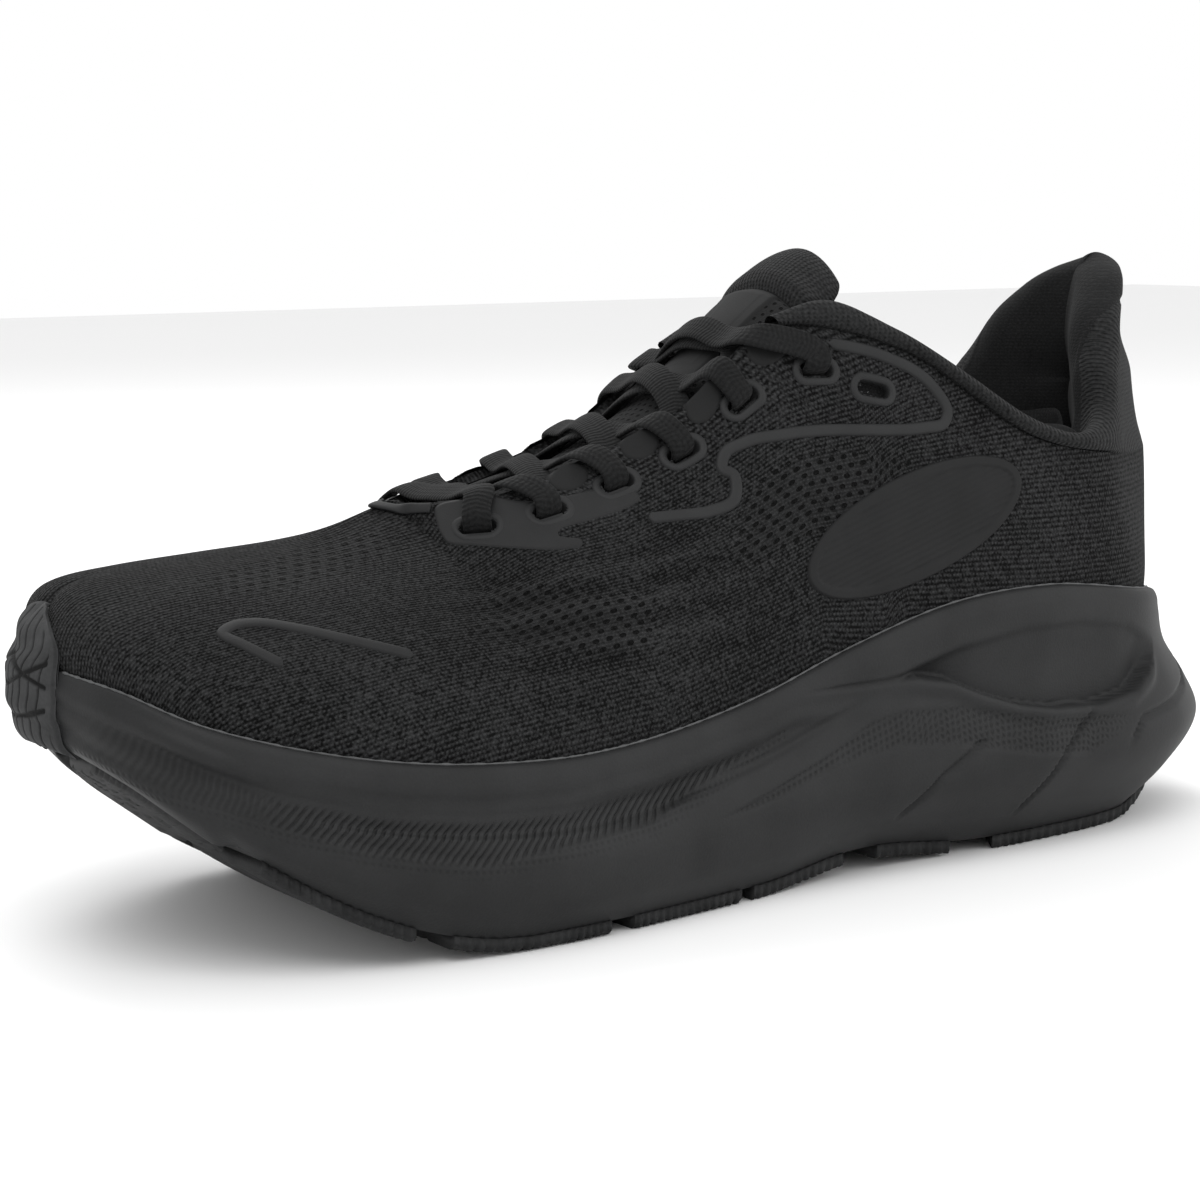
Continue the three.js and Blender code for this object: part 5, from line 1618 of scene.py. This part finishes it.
def at_edge(side, i, climb, rise):
    """Waypoint at the edge of the throat, a share of a station further up than the hole."""
    k = eyelet_at(side, i)[0] - side * climb
    along = unit((top_edge(k + 0.1) - top_edge(k - 0.1)) * -side)
    place = top_edge(k) + upper_normal(k, 1.0) * rise
    return place + [0, -side * PAST_EDGE, 0], along, LACE_WIDTH


def over_tongue(start, end, height):
    """Waypoints of a strand from edge to edge, kept clear of the tongue."""
    points = []
    for t in (0.25, 0.5, 0.75):
        p = mix(start[0], end[0], t)
        slope = tongue_top(p[0] + 2, 0) - tongue_top(p[0] - 2, 0)
        along = unit(np.array([4.0, 0, slope]))
        near = height if t == 0.5 else height - 0.4
        p[2] = max(tongue_top(p[0], p[1]) + near / along[0], p[2] - 1)
        points.append((p, along, LACE_WIDTH))
    return points


def strand(side, i, height):
    """From behind a hole across the throat to the front of the next one on the other side."""
    start = at_edge(side, i, 0.2, UNDER)
    climb, lift = (-0.48, 0.6) if i == LACED - 1 else (-0.12, 0.1)
    end = at_edge(-side, i + 1, climb, OVER + lift)
    return [in_eyelet(side, i, -KNIT / 2, 0), in_eyelet(side, i, UNDER - 0.6, -1.3),
            in_eyelet(side, i, UNDER, -4), start, *over_tongue(start, end, height), end,
            in_eyelet(-side, i + 1, OVER_RING, -3.6), in_eyelet(-side, i + 1, 1.6, -0.9)]


def lace_end(side):
    """All the crossings of one end of the lace, up to the last hole that it goes into."""
    strands = []
    for i in range(1, LACED):
        start = side if i % 2 else -side
        on_top = start > 0 if i == LACED - 1 else start < 0
        strands += strand(start, i, HIGH_STRAND if on_top else LOW_STRAND)
    return [*strands, in_eyelet(-side, LACED, -KNIT / 2, 0),
            in_eyelet(-side, LACED, UNDER - 0.8, 0.8)]


def lowest_bar():
    """The straight bar between the two lowest holes."""
    start, end = [at_edge(side, 1, 0.3, OVER) for side in (-1, 1)]
    rises = [[in_eyelet(side, 1, 1.6, -0.9), in_eyelet(side, 1, OVER_RING, -3.6)]
             for side in (-1, 1)]
    return [*rises[0], start, *over_tongue(start, end, HIGH_STRAND), end, *rises[1][::-1]]


def eased(values, reach):
    """Values along a line, each averaged with its neighbours up to a few samples away."""
    if not reach:
        return values
    weights = np.bartlett(2 * reach + 3)[1:-1]
    padded = np.concatenate([[values[0]] * reach, values, [values[-1]] * reach])
    count = len(values)
    total = sum(w * padded[i:i + count] for i, w in enumerate(weights))
    return total / weights.sum()


def band(name, waypoints, thick, material, body="shoe", per_span=10, soften=0):
    """A flat woven strip through (place, width direction, width) points."""
    places = Rail([w[0] for w in waypoints])
    acrosses = Rail([w[1] for w in waypoints])
    widths = Table([[w[2]] for w in waypoints])
    last = len(waypoints) - 1
    t = np.linspace(0, last, per_span * last + 1)
    centre = eased(places(t), soften)
    along = unit(np.gradient(centre, axis=0))
    side = eased(acrosses(t), 2 * soften)
    side = unit(side - along * (side * along).sum(-1, keepdims=True))
    face = np.cross(along, side)
    turn = np.linspace(0, TAU, 28, endpoint=False)
    wide = np.sign(np.cos(turn)) * np.abs(np.cos(turn)) ** 0.75
    tall = np.sign(np.sin(turn)) * np.abs(np.sin(turn)) ** 0.75
    half = widths(t) / 2
    ring = (centre[:, None, :] + side[:, None, :] * (half * wide)[..., None]
            + face[:, None, :] * (thick / 2 * tall)[None, :, None])
    uv = pair(arc_lengths(centre, 0)[:, None], half * wide)
    return loft(name, ring, material, uv=uv, body=body), centre


# The tails: (station, v) down the inside of the wall, then (x, y) in mm along the sockliner.
TAIL_ON_WALL = [(10.36, 0.78), (10.45, 0.6), (10.6, 0.42), (10.75, 0.24), (10.9, 0.08)]
TAIL_ON_BED = [(47, 25), (51, 21.5), (58, 18.5), (68, 17.5), (80, 17), (91, 16), (99, 12.5),
               (101, 8.5), (97, 5.5), (87, 5), (74, 6.5), (60, 8), (46, 8.5), (32, 8), (18, 7.5)]
STROBEL_TOP = 1.5
SOCKLINER_BASE = STROBEL_TOP + 0.3
SOCKLINER_THICK = 4.5
AGLET_LENGTH = 20.0
AGLET_RADIUS = 1.5


def lie_on_bed(piece):
    """Bakes a piece's placement into its mesh."""
    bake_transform(piece)
    piece.active_material.name.split("_")[0]


def bed_top(x):
    """Height of the sockliner's top."""
    return footbed(x) + SOCKLINER_BASE + SOCKLINER_THICK


def tail_points(side):
    """Waypoints of a loose tail, from the last hole down to its tip."""
    points = [in_eyelet(side, LACED, UNDER - 1.3, 3.2)]
    for station, v in TAIL_ON_WALL:
        k = on_side(station, side)
        along = unit((upper_point(k + 0.1, v) - upper_point(k - 0.1, v)) * -side)
        points.append((on_upper(k, v, UNDER - 0.8), along, LACE_WIDTH))
    for i, (x, y) in enumerate(TAIL_ON_BED):
        before = TAIL_ON_BED[max(i - 1, 0)]
        after = TAIL_ON_BED[min(i + 1, len(TAIL_ON_BED) - 1)]
        level = unit(np.array([before[1] - after[1], side * (after[0] - before[0]), 0.0]))
        lift = 4.5 if i == 0 else LACE_THICK / 2 + 0.35
        points.append((np.array([x, side * y, bed_top(x) + lift]), level * -side, LACE_WIDTH))
    return points


def build_lace():
    """The crossed run, the two tails and their tips."""
    route = [*lace_end(-1)[::-1], *lowest_bar(), *lace_end(1)]
    piece, _ = band("lace_crossed", route, LACE_THICK + 0.1, LACE_LOOK, soften=5)
    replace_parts(piece, "lace")
    for side in (-1, 1):
        name = SIDE_NAME[side]
        tip = build_aglet(side)
        piece, centre = band(f"lace_tail_{name}_end", tail_points(side), LACE_THICK, LACE_LOOK,
                             body=None)
        lie_on_bed(piece)
        path = centre * MM
        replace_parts(piece, f"lace_tail_{name}")


def build_aglet(side):
    """Moulded tip on a tail, with a crimped end and a rounded nose."""
    x, y = TAIL_ON_BED[-1]
    along = np.linspace(0, 1, 60)
    nose = np.sqrt(1 - np.clip((along - 0.93) / 0.07, 0, 1) ** 2 * 0.8)
    crimp = 1 - 0.1 * bump(along, 0.12, 0.03) - 0.1 * bump(along, 0.2, 0.03)
    radius = AGLET_RADIUS * nose * crimp
    turn = np.linspace(0, TAU, 28, endpoint=False)
    place_x = x - 0.4 - AGLET_LENGTH * along
    height = bed_top(place_x) + AGLET_RADIUS + 0.45
    ring = np.stack([place_x[:, None] + 0 * turn, side * y + radius[:, None] * np.cos(turn),
                     height[:, None] + radius[:, None] * np.sin(turn)], -1)
    piece = loft(f"aglet_{SIDE_NAME[side]}_tip", ring, PLASTIC_LOOK, body=None)
    lie_on_bed(piece)
    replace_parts(piece, f"aglet_{SIDE_NAME[side]}")
    return piece


TRIM_STATIONS = (6.42, 6.26, 6.1)
TRIM_WIDTH = 2.4


def build_trim():
    """Tape round the front end of the throat."""
    def at(k):
        outwards = unit(upper_point(k, 0.93) - upper_point(k, 0.97))
        return on_upper(k, 0.95, 0.4), outwards, TRIM_WIDTH
    front = ridge(5.84) + [0, 0, 0.5]
    route = [*[at(k) for k in TRIM_STATIONS], (front, np.array([-0.95, 0, -0.3]), TRIM_WIDTH),
             *[at(LOOP - k) for k in TRIM_STATIONS[::-1]]]
    piece, _ = band("throat_trim_tape", route, 0.9, FILM_LOOK, per_span=14)
    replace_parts(piece, "throat_trim")


# ---------------------------------------------------------------- footbed
SOCKLINER_INSET = 9.2          # from the seam of the upper and the midsole
SOCKLINER_ROUND = 0.9


def build_sockliner():
    """The loose footbed."""
    s = np.linspace(0.04, STATIONS - 0.04, 150)
    ends = [feather(k) - outward(k) * SOCKLINER_INSET for k in (s, LOOP - s)]
    across = np.linspace(0, 1, 60)
    line = mix(ends[0][:, None, :], ends[1][:, None, :], across[None, :, None])
    bed = footbed(line[..., 0]) + SOCKLINER_BASE
    edge = np.minimum(across, 1 - across)
    rounded = SOCKLINER_ROUND * (1 - smooth(edge, 0, 0.03))
    top, low = line.copy(), line.copy()
    top[..., 2] = bed + SOCKLINER_THICK - rounded
    low[..., 2] = bed
    rings = np.concatenate([low, top[:, ::-1]], 1)
    piece = loft("sockliner_foam_cloth", rings, FOOTBED_LOOK, body="sockliner", uv=rings[..., :2])
    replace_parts(piece, "sockliner")


# ---------------------------------------------------------------- studio
FLOOR_HALF = 3000
FLOOR_HEIGHT = -0.05           # just under the tread
PAPER = (0.86, 0.86, 0.86, 1)
WORLD_LIGHT = (1, 1, 1, 1)
AIM = Vector((0, 0, 0.06))     # metres; what the lamps point at
# Name, place in metres, size in metres and power in watts.
LAMPS = (
    ("key", (-0.5, -0.7, 1.2), 0.9, 9),
    ("fill", (0.9, -0.9, 0.6), 1.2, 5),
    ("back", (0.2, 0.9, 1.1), 0.8, 7),
)


def build_studio():
    """Paper floor, even white light all round, and three soft lamps."""
    corners = [(x * FLOOR_HALF, y * FLOOR_HALF, FLOOR_HEIGHT)
               for x, y in ((-1, -1), (1, -1), (1, 1), (-1, 1))]
    make("studio_floor", corners, [(0, 1, 2, 3)], floor_look(), body=None)
    world = bpy.data.worlds.new("studio")
    world.use_nodes = True
    background = world.node_tree.nodes["Background"]
    background.inputs["Color"].default_value = WORLD_LIGHT
    background.inputs["Strength"].default_value = 1.0
    bpy.context.scene.world = world
    for name, place, size, power in LAMPS:
        data = bpy.data.lights.new(name, "AREA")
        data.energy = power
        data.size = size
        lamp = bpy.data.objects.new(name, data)
        bpy.context.scene.collection.objects.link(lamp)
        lamp.location = place
        lamp.rotation_euler = (AIM - Vector(place)).to_track_quat("-Z", "Y").to_euler()


def floor_look():
    look = Look("studio_paper", 0.9, specular=0.1)
    look.shader.inputs["Base Color"].default_value = PAPER
    return look.material


# ---------------------------------------------------------------- build
build_midsole(FOAM_LOOK)
build_outsole(RUBBER_LOOK)
build_bumper(BUMPER_LOOK)
build_upper()
build_films()
build_collar()
build_tongue()
build_lace()
build_trim()
build_highlight_bead()
build_sockliner()
build_studio()
